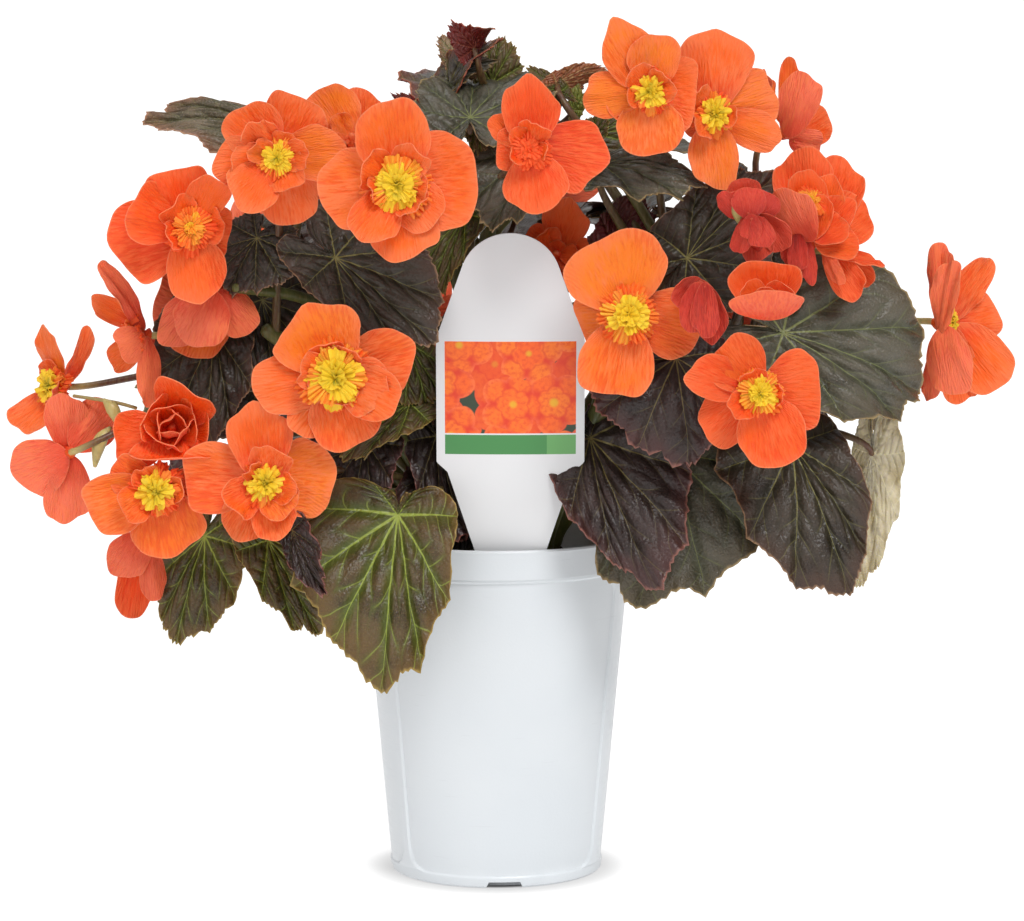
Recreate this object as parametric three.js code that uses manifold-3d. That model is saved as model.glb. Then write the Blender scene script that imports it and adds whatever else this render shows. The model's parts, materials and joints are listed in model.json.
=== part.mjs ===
// A begonia in bloom in a white nursery pot, with a plain plant label.
//
// Millimetres, +Z up. The origin is the centre of the pot's underside, and the plant's showy
// side faces -Y. Leaves and blooms are placed by where they stand in a photograph of the plant,
// seen from a known viewpoint, with a depth in millimetres for each; those at the back are placed
// in millimetres. Each stem is one solid with its leaves, stalks and flower stalks. Each bloom is
// a solid of petals on a receptacle, and an open one has its stamens as a second solid.

import * as THREE from "three";
import { mergeVertices } from "three/addons/utils/BufferGeometryUtils.js";
import Module from "manifold-3d";

const wasm = await Module();
wasm.setup();

// ------------------------------------------------------------------ driving dimensions, mm

const GAP = 0.3; // clearance between pieces that touch

const POT = {
  height: 136.4,
  baseRadius: 41.9,
  shoulderRadius: 53.3, // at the foot of the collar
  collarRadius: 54.2,
  rimRadius: 54.9,
  collarHeight: 12,
  wall: 1.5,
  floor: 1.8,
  chamfer: 1,
  lip: 0.8, // the collar's step
  sides: 32,
  slots: 4, // drainage slots where the wall meets the floor
  slotWidth: 14.6,
  slotHeight: 2.8,
  slotDepth: 6,
  ribs: 3, // upright ribs between the side panels
  firstRib: (65 * Math.PI) / 180, // round from the front, to the right
  ribWidth: 3,
  ribProud: 0.6,
  ribInset: 3, // short of the collar and the floor
};

const SOIL = { surface: 123, dome: 2, crumb: 1.6, rings: [0.5, 1], sides: 14 };

const LABEL = {
  centreX: 5.8,
  rimY: -48.3, // where its plane passes the pot's rim
  lean: (9 * Math.PI) / 180, // forward, over the rim
  thickness: 0.8,
  halfWidth: 28.5,
  top: 125.6, // heights above the rim
  domeRadius: 19.5,
  domeStart: 0.34, // radians above level, where the sloping side meets the dome
  shoulder: 84.5,
  foot: 34.7,
  notch: 31.1,
  notchHalfWidth: 24.3,
  neckHalfWidth: 14.1,
  stakeDepth: 52, // below the rim, in the soil
};

const LEAF = {
  thickness: 1.1,
  breadth: 1.48, // of the outline, as a share of its length, before it is set to a leaf's width
  edgePoints: 13, // out and in by turns
  waistPoints: 4,
  toothOut: 0.04,
  toothIn: 0.08,
};

const STEM = { radius: 4.2, sides: 5, steps: 4, depth: 24 }; // depth: below the soil's surface
const STALK = { leafRadius: 1.9, bloomRadius: 1.5, sides: 3, steps: 2 };

const PETAL_THICKNESS = 0.8;
const RECEPTACLE = { length: 7.5, waist: 4, radius: 4.6, sides: 3 };
const PETAL_LEVELS = [5, 2, 3.5]; // in front of the bloom's base: even, odd and last petals
const FULLNESS = 1.12; // of a petal's width
const PETAL_SPREAD = 2.4; // how much further apart the levels are at the tips
const CUP = {
  reach: 0.55, // as a share of the bloom's radius
  waist: 0.36, // the rest are shares of the cup's own reach
  rise: 0.45,
  lobe: [[0.45, 0], [1, 0.3], [1, 0.7]], // [how far out, place round the lobe]
};
const STAMENS = { ridges: 6, brim: 0.42, crownReach: 0.55, crown: 0.75, top: 0.85 };
const CLAW = { radius: 2, sides: 3, reach: -0.55, corners: 5 }; // reach runs from -1 at a petal's root to 1
const BUD = { petals: 3, spread: 0.47, step: 0.1, bulge: 0.2, cup: 0.62 }; // shares of its width
const SIDEWAYS = -0.8; // a bloom whose facing's y is above this doesn't look at the viewer

// The photograph: 1024 x 921 pixels, taken from in front of the pot, a little above the plant.
const PHOTO = {
  centreX: 512,
  centreY: 460.5,
  focal: 3930, // in pixels
  eye: new THREE.Vector3(6.4, -1560, 355),
  tilt: (6.942 * Math.PI) / 180, // down from level
};

const COLOURS = {
  pot: 0xe9ebec,
  soil: 0x2b211b,
  label: 0xf1f1ef,
  foliage: 0x3a3f2c,
  petals: 0xf2562a,
  buds: 0xd63a34,
  stamens: 0xf0bf22,
};

// ------------------------------------------------------------------ what grows, and where

// Main stems: [name, [foot x, y on the soil], [bend], [tip]].
const STEMS = [
  ["stem_front_left", [-17, -17], [-42, -42, 185], [-88, -52, 222]],
  ["stem_left", [-21, 0], [-62, -8, 180], [-128, -14, 214]],
  ["stem_front_middle", [0, -20], [-6, -34, 205], [-22, -42, 268]],
  ["stem_top", [-4, 3], [-6, 2, 215], [0, -8, 292]],
  ["stem_front_right", [17, -17], [40, -40, 190], [66, -44, 250]],
  ["stem_right", [21, 1], [66, -8, 180], [126, -18, 226]],
  ["stem_back_left", [-13, 18], [-42, 48, 190], [-84, 76, 226]],
  ["stem_back_right", [14, 19], [44, 50, 190], [84, 78, 230]],
];

// Leaves, [foot of the blade, tip of the blade, blade width, facing, stem], where a point is
// [photo x, photo y, depth y] and the width is in pixels of the photograph. facing is the way
// the upper side looks. A last number, where there is one, says how much wider one half is.
const FRONT_LEAVES = [
  [[288, 134, -42], [148, 118, -30], 58, [-0.1, -0.35, 0.93], "stem_left"],
  [[257, 238, -62], [230, 292, -66], 84, [-0.3, -0.9, 0.2], "stem_left"],
  [[335, 258, -72], [430, 342, -76], 122, [0, -0.85, 0.5], "stem_front_left"],
  [[470, 118, -56], [474, 80, -14], 122, [0, -0.35, 0.93], "stem_top"],
  [[545, 150, -62], [490, 228, -78], 108, [-0.2, -0.75, 0.6], "stem_front_middle"],
  [[602, 166, -58], [702, 188, -68], 74, [0.1, -0.6, 0.8], "stem_front_right"],
  [[490, 82, -20], [503, 38, -14], 42, [0.1, 0.95, 0.2], "stem_top"],
  [[462, 62, -30], [487, 22, -34], 38, [0.3, 0.9, 0.3], "stem_top"],
  [[458, 70, -24], [434, 40, -20], 30, [0.3, 0.9, 0.2], "stem_top"],
  [[556, 100, -46], [604, 62, -40], 30, [-0.5, 0.7, 0.4], "stem_front_right"],
  [[576, 112, -48], [552, 76, -42], 34, [0.4, 0.8, 0.4], "stem_top"],
  [[687, 258, -62], [766, 182, -52], 116, [0.1, -0.97, 0.2], "stem_front_right"],
  [[783, 333, -58], [922, 392, -34], 168, [0.3, -0.92, 0.25], "stem_right"],
  [[884, 446, -22], [866, 580, -30], 54, [0.2, 0.95, 0.1], "stem_right"],
  [[800, 436, -50], [848, 590, -62], 138, [0.1, -0.95, 0.3], "stem_right"],
  [[672, 356, -66], [684, 462, -74], 140, [0, -0.93, 0.35], "stem_front_right"],
  [[592, 440, -46], [668, 578, -70], 122, [-0.1, -0.95, 0.25], "stem_front_right"],
  [[678, 450, -44], [664, 604, -60], 160, [0.05, -0.95, 0.3], "stem_front_right"],
  [[398, 515, -70], [383, 680, -86], 157, [0, -0.97, 0.25], "stem_front_middle", -0.25],
  [[268, 540, -52], [318, 634, -60], 84, [0.1, -0.95, 0.2], "stem_front_left"],
  [[205, 536, -44], [178, 638, -46], 88, [-0.2, -0.95, 0.2], "stem_left"],
  [[268, 346, 2], [166, 436, 10], 142, [-0.1, -0.95, 0.3], "stem_left"],
  [[436, 436, -40], [462, 540, -46], 84, [0.1, -0.95, 0.2], "stem_front_middle"],
  [[410, 404, -50], [346, 456, -62], 70, [0, -0.8, 0.6], "stem_front_left"],
  [[616, 252, -48], [640, 196, -44], 72, [-0.1, 0.95, 0.2], "stem_front_middle"],
  [[520, 420, -30], [540, 530, -38], 120, [0, -0.97, 0.2], "stem_front_middle"],
];

// Leaves at the back and sides, [foot of the blade, tip, width, facing, stem], all in mm.
const BACK_LEAVES = [
  [[-118, 52, 208], [-134, 98, 168], 54, [-0.9, 0.3, 0.2], "stem_left"],
  [[-104, 78, 196], [-138, 120, 156], 60, [-0.4, 0.8, 0.4], "stem_back_left"],
  [[-62, 92, 168], [-84, 128, 112], 58, [-0.3, 0.9, 0.2], "stem_back_left"],
  [[-14, 84, 176], [-8, 124, 120], 60, [0, 0.95, 0.25], "stem_back_left"],
  [[44, 90, 170], [56, 130, 116], 62, [0.2, 0.9, 0.3], "stem_back_right"],
  [[98, 84, 194], [136, 118, 150], 60, [0.5, 0.8, 0.3], "stem_back_right"],
  [[130, 48, 206], [158, 88, 168], 58, [0.9, 0.3, 0.3], "stem_right"],
  [[-48, 60, 258], [-66, 112, 240], 62, [-0.2, 0.5, 0.85], "stem_back_left"],
  [[8, 56, 262], [10, 116, 238], 66, [0, 0.5, 0.86], "stem_back_left"],
  [[64, 52, 268], [110, 84, 258], 56, [0.2, 0.3, 0.93], "stem_back_right"],
  [[-38, 12, 284], [-102, 6, 276], 68, [-0.15, 0, 1], "stem_top"],
  [[34, 20, 288], [98, 12, 280], 68, [0.15, 0, 1], "stem_top"],
  [[-84, 34, 248], [-142, 50, 244], 60, [-0.2, 0.1, 0.97], "stem_back_left"],
  [[88, 28, 240], [148, 30, 224], 66, [0.3, 0.1, 0.95], "stem_back_right"],
];

// Blooms seen in the photograph. centre is [photo x, photo y, depth y]. A petal is [tip photo x,
// tip photo y, how far its tip lies behind the centre in mm, width in pixels]. inner is the number
// of lobes of the inner petals' cup, and stamens is the radius of the yellow middle in mm, or 0
// where petals hide it. A bloom that is seen from the side or from behind has turned petals
// instead, [root, tip, width in pixels, facing, cup], where a root or tip is [photo x, photo y, mm
// ahead of the centre]. A bud has its foot and tip in the photograph, its width in pixels and how
// open it is.
const FRONT_BLOOMS = [
  {
    name: "bloom_01",
    stem: "stem_left",
    centre: [190, 228, -86],
    facing: [0.2, -0.96, 0.1],
    inner: 4,
    stamens: 7,
    petals: [[168, 169, 2, 70], [233, 234, 4, 56], [200, 299, 4, 62], [113, 248, 0, 84], [128, 206, -6, 62]],
  },
  {
    name: "bloom_02",
    stem: "stem_front_left",
    centre: [277, 157, -92],
    facing: [-0.05, -1, -0.05],
    inner: 4,
    stamens: 7,
    petals: [[236, 110, 2, 62], [304, 97, 4, 66], [344, 150, 6, 58], [292, 226, 10, 66], [216, 166, 3, 54]],
  },
  {
    name: "bloom_03",
    stem: "stem_front_middle",
    centre: [397, 185, -108],
    facing: [0, -1, 0.05],
    inner: 4,
    stamens: 10,
    petals: [[390, 102, 2, 78], [476, 178, 0, 104], [408, 260, 4, 70], [320, 192, 2, 84], [436, 222, 3, 56]],
  },
  {
    name: "bloom_04",
    stem: "stem_top",
    centre: [352, 136, -66],
    facing: [-0.1, -0.8, 0.55],
    inner: 3,
    stamens: 0,
    petals: [[322, 93, 6, 54], [360, 84, 8, 52], [386, 132, 2, 44], [318, 150, -4, 44]],
  },
  {
    name: "bloom_05",
    stem: "stem_front_middle",
    centre: [530, 150, -104],
    facing: [-0.12, -1, 0],
    inner: 4,
    stamens: 0,
    petals: [[530, 82, 2, 60], [602, 160, 5, 74], [540, 210, 3, 68], [494, 150, 0, 44]],
  },
  {
    name: "bloom_06",
    stem: "stem_front_right",
    centre: [650, 92, -84],
    facing: [0.05, -1, 0.05],
    inner: 4,
    stamens: 9,
    petals: [[616, 28, 3, 56], [699, 96, 2, 78], [650, 155, 2, 70], [618, 124, -2, 52], [582, 97, 4, 46]],
  },
  {
    name: "bloom_07",
    stem: "stem_right",
    centre: [714, 114, -70],
    facing: [0.3, -0.94, 0.05],
    inner: 4,
    stamens: 8,
    petals: [[717, 30, 4, 78], [781, 92, 8, 62], [716, 188, 0, 54], [684, 124, 4, 40]],
  },
  {
    name: "bloom_08",
    stem: "stem_right",
    centre: [796, 124, -34],
    facing: [0.82, 0.1, 0.3],
    turned: [
      [[787, 133, 3], [808, 73, 6], 42, [0.25, 0.95, 0.1], 0.35],
      [[788, 134, -6], [792, 57, -9], 26, [0.2, -0.95, 0], 0.5],
      [[792, 136, -8], [827, 118, -9], 46, [0, -0.95, 0.2], 0.2],
      [[789, 138, 3], [822, 146, 2], 34, [-0.1, 0.9, 0.3], 0.3],
    ],
  },
  {
    name: "bloom_09",
    stem: "stem_right",
    centre: [812, 238, -62],
    facing: [0.25, -0.75, 0.6],
    turned: [
      [[812, 242, 0], [800, 147, -10], 68, [0, -0.95, 0.1], 0.3],
      [[814, 240, -2], [846, 158, -14], 66, [-0.3, -0.9, 0], 0.3],
      [[815, 241, 0], [865, 202, -8], 68, [-0.3, -0.9, 0.1], 0.3],
      [[814, 243, 3], [860, 243, 2], 42, [-0.1, -0.8, 0.5], 0.4],
      [[812, 240, 6], [824, 196, 5], 32, [-0.2, -0.95, 0], 0.6],
      [[811, 242, 6], [784, 188, 15], 50, [0.45, 0.85, 0.1], 0.4],
    ],
  },
  {
    name: "bloom_10",
    stem: "stem_right",
    centre: [844, 268, -58],
    facing: [0.6, -0.45, -0.5],
    turned: [
      [[824, 248, 0], [883, 263, 4], 24, [0.2, -0.5, 0.85], 0.4],
      [[825, 250, 3], [860, 298, 7], 38, [-0.3, -0.85, 0.2], 0.5],
      [[824, 249, -3], [872, 284, -2], 34, [-0.3, -0.9, 0], 0.35],
    ],
  },
  {
    name: "bud_11",
    stem: "stem_right",
    centre: [748, 204, -84],
    facing: [0.05, -0.9, 0.35],
    bud: { foot: [748, 218], tip: [748, 178], width: 50, opening: 0.45 },
  },
  {
    name: "bud_12",
    stem: "stem_right",
    centre: [762, 246, -86],
    facing: [0.1, -0.85, 0.45],
    bud: { foot: [752, 210], tip: [764, 262], width: 50, opening: 0.5 },
  },
  {
    name: "bud_13",
    stem: "stem_right",
    centre: [802, 256, -66],
    facing: [0.15, -0.9, -0.3],
    bud: { foot: [806, 228], tip: [804, 290], width: 36, opening: 0.2 },
  },
  {
    name: "bloom_14",
    stem: "stem_right",
    centre: [766, 294, -98],
    facing: [0.02, -0.9, -0.3],
    turned: [
      [[766, 314, -5], [764, 260, 0], 82, [0, -0.9, -0.3], 0.42],
      [[766, 312, 1], [766, 284, 4], 50, [0, -0.9, 0], 0.6],
      [[767, 320, 6], [767, 291, 14], 84, [0, 0.8, 0.5], 0.3],
    ],
  },
  {
    name: "bud_15",
    stem: "stem_front_right",
    centre: [700, 308, -92],
    facing: [0.05, -0.95, 0.2],
    bud: { foot: [700, 278], tip: [706, 346], width: 46, opening: 0.35 },
  },
  {
    name: "bloom_16",
    stem: "stem_front_middle",
    centre: [556, 254, -46],
    facing: [-0.1, -0.95, 0.25],
    inner: 4,
    stamens: 0,
    petals: [[570, 204, 2, 48], [524, 232, 2, 38], [592, 262, 0, 46], [540, 300, 2, 48]],
  },
  {
    name: "bloom_17",
    stem: "stem_front_right",
    centre: [628, 315, -86],
    facing: [0.05, -1, 0.05],
    inner: 0,
    stamens: 11,
    petals: [[608, 236, 0, 108], [701, 330, 3, 72], [608, 397, 2, 78], [577, 322, 8, 60]],
  },
  {
    name: "bloom_18",
    stem: "stem_right",
    centre: [759, 393, -96],
    facing: [0, -1, 0],
    inner: 0,
    stamens: 9,
    petals: [[722, 342, 4, 62], [823, 392, 2, 84], [782, 464, 3, 72], [706, 438, 4, 58], [690, 370, -2, 48]],
  },
  {
    name: "bloom_19",
    stem: "stem_right",
    centre: [950, 322, -14],
    facing: [0.9, -0.4, 0],
    turned: [
      [[944, 320, -5], [942, 244, -8], 36, [0.5, 0.85, 0], 0.3],
      [[950, 322, -9], [990, 258, -14], 40, [0.3, -0.9, 0], 0.4],
      [[952, 324, -10], [998, 312, -18], 62, [0.2, -0.95, 0.1], 0.25],
      [[952, 326, -5], [1000, 388, -6], 74, [0.1, -0.95, 0], 0.25],
      [[950, 326, -2], [966, 404, -6], 48, [0.3, -0.95, 0], 0.3],
      [[940, 334, 5], [953, 259, 11], 32, [0.5, 0.85, 0], 0.4],
      [[944, 326, 6], [956, 394, 10], 56, [0.4, 0.9, 0], 0.35],
    ],
  },
  {
    name: "bloom_20",
    stem: "stem_front_left",
    centre: [335, 377, -98],
    facing: [0.05, -1, 0.05],
    inner: 4,
    stamens: 10,
    petals: [[308, 312, 2, 92], [414, 352, 4, 68], [352, 447, 6, 76], [298, 434, -2, 52], [254, 388, 4, 66]],
  },
  {
    name: "bloom_21",
    stem: "stem_front_left",
    centre: [265, 483, -96],
    facing: [0.08, -1, 0],
    inner: 4,
    stamens: 7,
    petals: [[256, 407, 3, 66], [334, 478, 2, 84], [278, 538, 3, 46], [238, 540, 1, 56], [181, 476, 3, 74]],
  },
  {
    name: "bloom_22",
    stem: "stem_left",
    centre: [156, 490, -90],
    facing: [-0.05, -1, -0.1],
    inner: 4,
    stamens: 8,
    petals: [[88, 512, 3, 64], [172, 558, 3, 78], [112, 466, 5, 44], [206, 500, 8, 54]],
  },
  {
    name: "bloom_23",
    stem: "stem_left",
    centre: [172, 428, -80],
    facing: [0.05, -0.88, 0.3],
    inner: 4,
    stamens: 0,
    petals: [[186, 390, -8, 68], [208, 424, -8, 62], [170, 462, -12, 84], [113, 440, -4, 62]],
  },
  {
    name: "bloom_24",
    stem: "stem_left",
    centre: [214, 304, -62],
    facing: [-0.2, -0.35, -0.9],
    turned: [
      [[216, 292, -4], [186, 356, -4], 70, [0.1, -0.9, 0.2], 0.3],
      [[212, 290, 0], [164, 342, 2], 52, [0.3, 0.9, 0.1], 0.35],
      [[214, 290, 5], [192, 344, 9], 66, [0.1, 0.95, 0.1], 0.35],
      [[220, 290, 1], [248, 334, 3], 50, [-0.2, 0.95, 0], 0.35],
    ],
  },
  {
    name: "bloom_25",
    stem: "stem_left",
    centre: [132, 336, -58],
    facing: [-0.95, -0.25, 0],
    turned: [
      [[144, 330, -2], [100, 262, 2], 26, [-0.6, 0.75, 0], 0.4],
      [[140, 326, -6], [92, 300, -8], 30, [-0.3, -0.9, 0.1], 0.4],
      [[144, 334, 4], [118, 352, 10], 44, [-0.4, 0.9, 0], 0.3],
      [[142, 338, -6], [110, 366, -8], 36, [-0.3, -0.9, 0], 0.4],
      [[147, 336, 2], [148, 405, 4], 30, [-0.5, 0.85, 0], 0.35],
      [[146, 336, -4], [168, 354, -6], 24, [-0.3, 0.9, 0.2], 0.3],
    ],
  },
  {
    name: "bloom_26",
    stem: "stem_left",
    centre: [52, 386, -30],
    facing: [-0.75, -0.6, 0.1],
    inner: 3,
    stamens: 5,
    petals: [[49, 333, 2, 36], [80, 332, 8, 30], [20, 428, 0, 52], [60, 438, 6, 40]],
  },
  {
    name: "bloom_27",
    stem: "stem_left",
    centre: [68, 452, -44],
    facing: [-0.25, 0.85, -0.1],
    inner: 3,
    stamens: 0,
    petals: [[64, 394, -10, 44], [15, 476, 4, 60], [68, 522, 0, 50], [108, 404, 8, 50]],
  },
  {
    name: "bloom_28",
    stem: "stem_left",
    centre: [142, 548, -50],
    facing: [-0.35, 0.5, -0.7],
    turned: [
      [[144, 534, 2], [116, 574, 4], 50, [0.2, 0.95, 0.1], 0.35],
      [[144, 538, -3], [130, 618, -4], 46, [0.1, -0.95, 0], 0.4],
      [[147, 540, 0], [155, 600, 2], 32, [-0.3, 0.9, 0], 0.4],
    ],
  },
];

// Blooms on the far side: [name, centre in mm, facing, petal length in mm, stem].
const FAR_BLOOMS = [
  ["bloom_29", [-120, 54, 220], [-0.75, 0.6, 0.25], 28, "stem_left"],
  ["bloom_30", [-104, 100, 234], [-0.5, 0.85, 0.1], 31, "stem_back_left"],
  ["bloom_31", [-60, 106, 270], [-0.25, 0.8, 0.5], 30, "stem_back_left"],
  ["bloom_32", [-36, 128, 206], [-0.1, 1, 0.05], 31, "stem_back_left"],
  ["bloom_33", [14, 112, 272], [0.05, 0.85, 0.5], 30, "stem_back_right"],
  ["bloom_34", [104, 106, 212], [0.4, 0.88, 0.2], 31, "stem_back_right"],
  ["bloom_35", [126, 56, 216], [0.8, 0.5, 0.3], 28, "stem_right"],
];

// ------------------------------------------------------------------ small helpers

const FULL_TURN = 2 * Math.PI;

// A repeatable draw between low and high for a seed.
function pick(seed, low, high) {
  const s = Math.sin(seed * 12.9898 + 4.1414) * 43758.5453;
  return low + (high - low) * (s - Math.floor(s));
}

const vector = (p) => new THREE.Vector3(...p);

// A list of count values, each made from its place in the list.
const listOf = (count, make) => Array.from({ length: count }, (_, i) => make(i));

// The point of the model that the photograph shows at (x, y), on the upright plane y = depth.
function fromPhoto([x, y, depth]) {
  const forward = new THREE.Vector3(0, Math.cos(PHOTO.tilt), -Math.sin(PHOTO.tilt));
  const up = new THREE.Vector3(0, Math.sin(PHOTO.tilt), Math.cos(PHOTO.tilt));
  const ray = forward
    .addScaledVector(new THREE.Vector3(1, 0, 0), (x - PHOTO.centreX) / PHOTO.focal)
    .addScaledVector(up, (PHOTO.centreY - y) / PHOTO.focal);
  return PHOTO.eye.clone().addScaledVector(ray, (depth - PHOTO.eye.y) / ray.y);
}

// Millimetres to a pixel of the photograph, at a depth.
const pixel = (depth) => (depth - PHOTO.eye.y) / PHOTO.focal;

// The part of v square to a unit vector, as a unit vector.
const squareTo = (v, unit) => v.clone().addScaledVector(unit, -v.dot(unit)).normalize();

// A closed geometry as a solid, with its faces turned outwards.
function solidOf(geometry) {
  const bare = geometry.index ? geometry.toNonIndexed() : geometry.clone();
  bare.deleteAttribute("normal");
  bare.deleteAttribute("uv");
  const merged = mergeVertices(bare, 1e-4);
  const vertProperties = new Float32Array(merged.attributes.position.array);
  const triVerts = new Uint32Array(merged.index.array);
  const made = new wasm.Manifold(new wasm.Mesh({ numProp: 3, vertProperties, triVerts }));
  if (made.volume() >= 0) return made;
  triVerts.reverse();
  return new wasm.Manifold(new wasm.Mesh({ numProp: 3, vertProperties, triVerts }));
}

const unionOf = (solids) => solids.reduce((sum, s) => sum.add(s));

// The largest separate piece of a solid: what a cut leaves loose is dropped.
function largestPiece(solid) {
  return solid.decompose().reduce((best, s) => (s.volume() > best.volume() ? s : best));
}

// Cuts a solid clear of each of the others that reaches into its box.
function clearOf(solid, others) {
  const meet = (a, b) => [0, 1, 2].every((k) => a.min[k] < b.max[k] && b.min[k] < a.max[k]);
  return others
    .filter((other) => meet(solid.boundingBox(), other.boundingBox()))
    .reduce((left, other) => left.subtract(other), solid);
}

// A named mesh with the solid's surface.
function meshOf(name, solid, color, roughness) {
  const mesh = solid.getMesh();
  const geometry = new THREE.BufferGeometry()
    .setAttribute("position", new THREE.BufferAttribute(new Float32Array(mesh.vertProperties), 3))
    .setIndex(new THREE.BufferAttribute(new Uint32Array(mesh.triVerts), 1));
  geometry.computeVertexNormals();
  const made = new THREE.Mesh(geometry, new THREE.MeshStandardMaterial({ color, roughness, metalness: 0 }));
  made.name = name;
  return made;
}

// Triangles between each ring of points and the next, as places in the flattened list of rings.
function ringFaces(rings) {
  const faces = [];
  let start = 0;
  for (let i = 1; i < rings.length; i++) {
    const inner = rings[i - 1].length;
    const outer = rings[i].length;
    const next = start + inner;
    let a = inner === 1 ? 1 : 0;
    let b = outer === 1 ? 1 : 0;
    while (a < inner || b < outer) {
      const from = start + (a % inner);
      const to = next + (b % outer);
      if (a >= inner || (b < outer && (b + 0.5) / outer <= (a + 0.5) / inner)) {
        b++;
        faces.push([from, to, next + (b % outer)]);
      } else {
        a++;
        faces.push([from, to, start + (a % inner)]);
      }
    }
    start = next;
  }
  return faces;
}

// A closed form of stacked rings, whose first and last rings are one point each.
function closedStack(rings) {
  return solidOf(new THREE.BufferGeometry().setFromPoints(rings.flat()).setIndex(ringFaces(rings).flat()));
}

// A blade between two like faces: rings of points from the middle outwards, the first of one
// point, each moved half the thickness either way along the normal.
function blade(rings, normal, thickness) {
  const points = rings.flat();
  const edge = rings.at(-1).length;
  const rim = points.length - edge;
  const index = [];
  for (const [a, b, c] of ringFaces(rings)) {
    index.push(a, b, c, a + points.length, c + points.length, b + points.length);
  }
  for (let i = 0; i < edge; i++) {
    const a = rim + i;
    const b = rim + ((i + 1) % edge);
    index.push(a, a + points.length, b, b, a + points.length, b + points.length);
  }
  const half = normal.clone().multiplyScalar(thickness / 2);
  const both = [...points.map((p) => p.clone().add(half)), ...points.map((p) => p.clone().sub(half))];
  return solidOf(new THREE.BufferGeometry().setFromPoints(both).setIndex(index));
}

// A bar of a few flat sides along a curve.
function bar(curve, radius, sides, steps) {
  const circle = new THREE.Shape();
  circle.absarc(0, 0, radius, 0, FULL_TURN);
  const section = new THREE.Shape(circle.getSpacedPoints(sides).slice(0, sides));
  return solidOf(new THREE.ExtrudeGeometry(section, { steps, extrudePath: curve, bevelEnabled: false }));
}

function lathe(profile, sides) {
  const points = profile.map(([r, z]) => new THREE.Vector2(r, z));
  return solidOf(new THREE.LatheGeometry(points, sides).rotateX(Math.PI / 2));
}

// Copies of a solid turned evenly about the pot's axis, the first at an angle from +X.
function around(count, first, make) {
  return listOf(count, (i) => make().rotate([0, 0, THREE.MathUtils.radToDeg(first) + (360 * i) / count]));
}

// ------------------------------------------------------------------ pot, soil and label

const FRONT = -Math.PI / 2; // the angle from +X of the side that faces the viewer

function potSolid() {
  const { height, wall, floor, chamfer, baseRadius, shoulderRadius } = POT;
  const shoulder = height - POT.collarHeight;
  const body = lathe(
    [
      [0, 0],
      [baseRadius - chamfer, 0],
      [baseRadius, chamfer],
      [shoulderRadius, shoulder],
      [POT.collarRadius, shoulder + POT.lip],
      [POT.rimRadius, height],
      [POT.rimRadius - wall, height],
      [baseRadius - wall, floor],
      [0, floor],
    ],
    POT.sides,
  );
  const slots = around(POT.slots, FRONT, () => {
    const slot = new THREE.BoxGeometry(POT.slotDepth, POT.slotWidth, 2 * POT.slotHeight);
    return solidOf(slot.translate(baseRadius - POT.slotDepth / 2 + POT.wall, 0, 0));
  });
  const slope = Math.atan((shoulderRadius - baseRadius) / shoulder);
  const ribs = around(POT.ribs, FRONT + POT.firstRib, () => {
    const rib = new THREE.BoxGeometry(2 * POT.ribProud, POT.ribWidth, shoulder - 2 * POT.ribInset);
    return solidOf(rib.rotateY(slope).translate((baseRadius + shoulderRadius) / 2, 0, shoulder / 2));
  });
  return body.subtract(unionOf(slots)).add(unionOf(ribs));
}

// The pot's outline filled in, with a gap round it.
function potRoom() {
  const profile = [
    [0, -1],
    [POT.baseRadius + 1, -1],
    [POT.rimRadius + 1, POT.height + GAP],
    [0, POT.height + GAP],
  ];
  return lathe(profile, POT.sides);
}

function potInnerRadius(z) {
  const share = (z - POT.floor) / (POT.height - POT.floor);
  return POT.baseRadius - POT.wall + (POT.rimRadius - POT.baseRadius) * share;
}

// A tapered plug with a crumbled top: rings of points, higher and lower by turns.
function soilSolid() {
  const { surface, dome, sides, rings } = SOIL;
  const point = (angle, radius, z) => new THREE.Vector3(radius * Math.sin(angle), -radius * Math.cos(angle), z);
  const ring = (radius, height) => listOf(sides, (i) => point((FULL_TURN * i) / sides, radius, height(i)));
  const top = rings.map((share, k) => {
    const crumb = (i) => (share === 1 ? 0 : pick(31 * k + i, -SOIL.crumb, SOIL.crumb));
    return ring(share * (potInnerRadius(surface) - GAP), (i) => surface + dome * (1 - share) + crumb(i));
  });
  const low = POT.floor + GAP;
  const bottom = ring(potInnerRadius(POT.floor) - GAP, () => low);
  return closedStack([[point(0, 0, surface + dome)], ...top, bottom, [point(0, 0, low)]]);
}

// The label's outline: a dome on sloping shoulders, straight sides, a notch and a pointed stake.
function labelSolid(grow) {
  const L = LABEL;
  const side = [
    [L.neckHalfWidth, 0],
    [L.notchHalfWidth, L.notch],
    [L.halfWidth, L.foot],
    [L.halfWidth, L.shoulder],
  ];
  const dome = listOf(7, (i) => {
    const angle = L.domeStart + ((Math.PI - 2 * L.domeStart) * i) / 6;
    const radius = L.domeRadius + grow;
    return new THREE.Vector2(radius * Math.cos(angle), L.top - L.domeRadius + radius * Math.sin(angle));
  });
  const shape = new THREE.Shape([
    new THREE.Vector2(0, -L.stakeDepth - grow),
    ...side.map(([x, z]) => new THREE.Vector2(x + grow, z)),
    ...dome,
    ...side.reverse().map(([x, z]) => new THREE.Vector2(-x - grow, z)),
  ]);
  const depth = L.thickness + 2 * grow;
  const plate = new THREE.ExtrudeGeometry(shape, { depth, bevelEnabled: false });
  plate.translate(0, 0, -depth / 2).rotateX(Math.PI / 2 + L.lean);
  return solidOf(plate.translate(L.centreX, L.rimY, POT.height));
}

// ------------------------------------------------------------------ leaves

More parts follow.
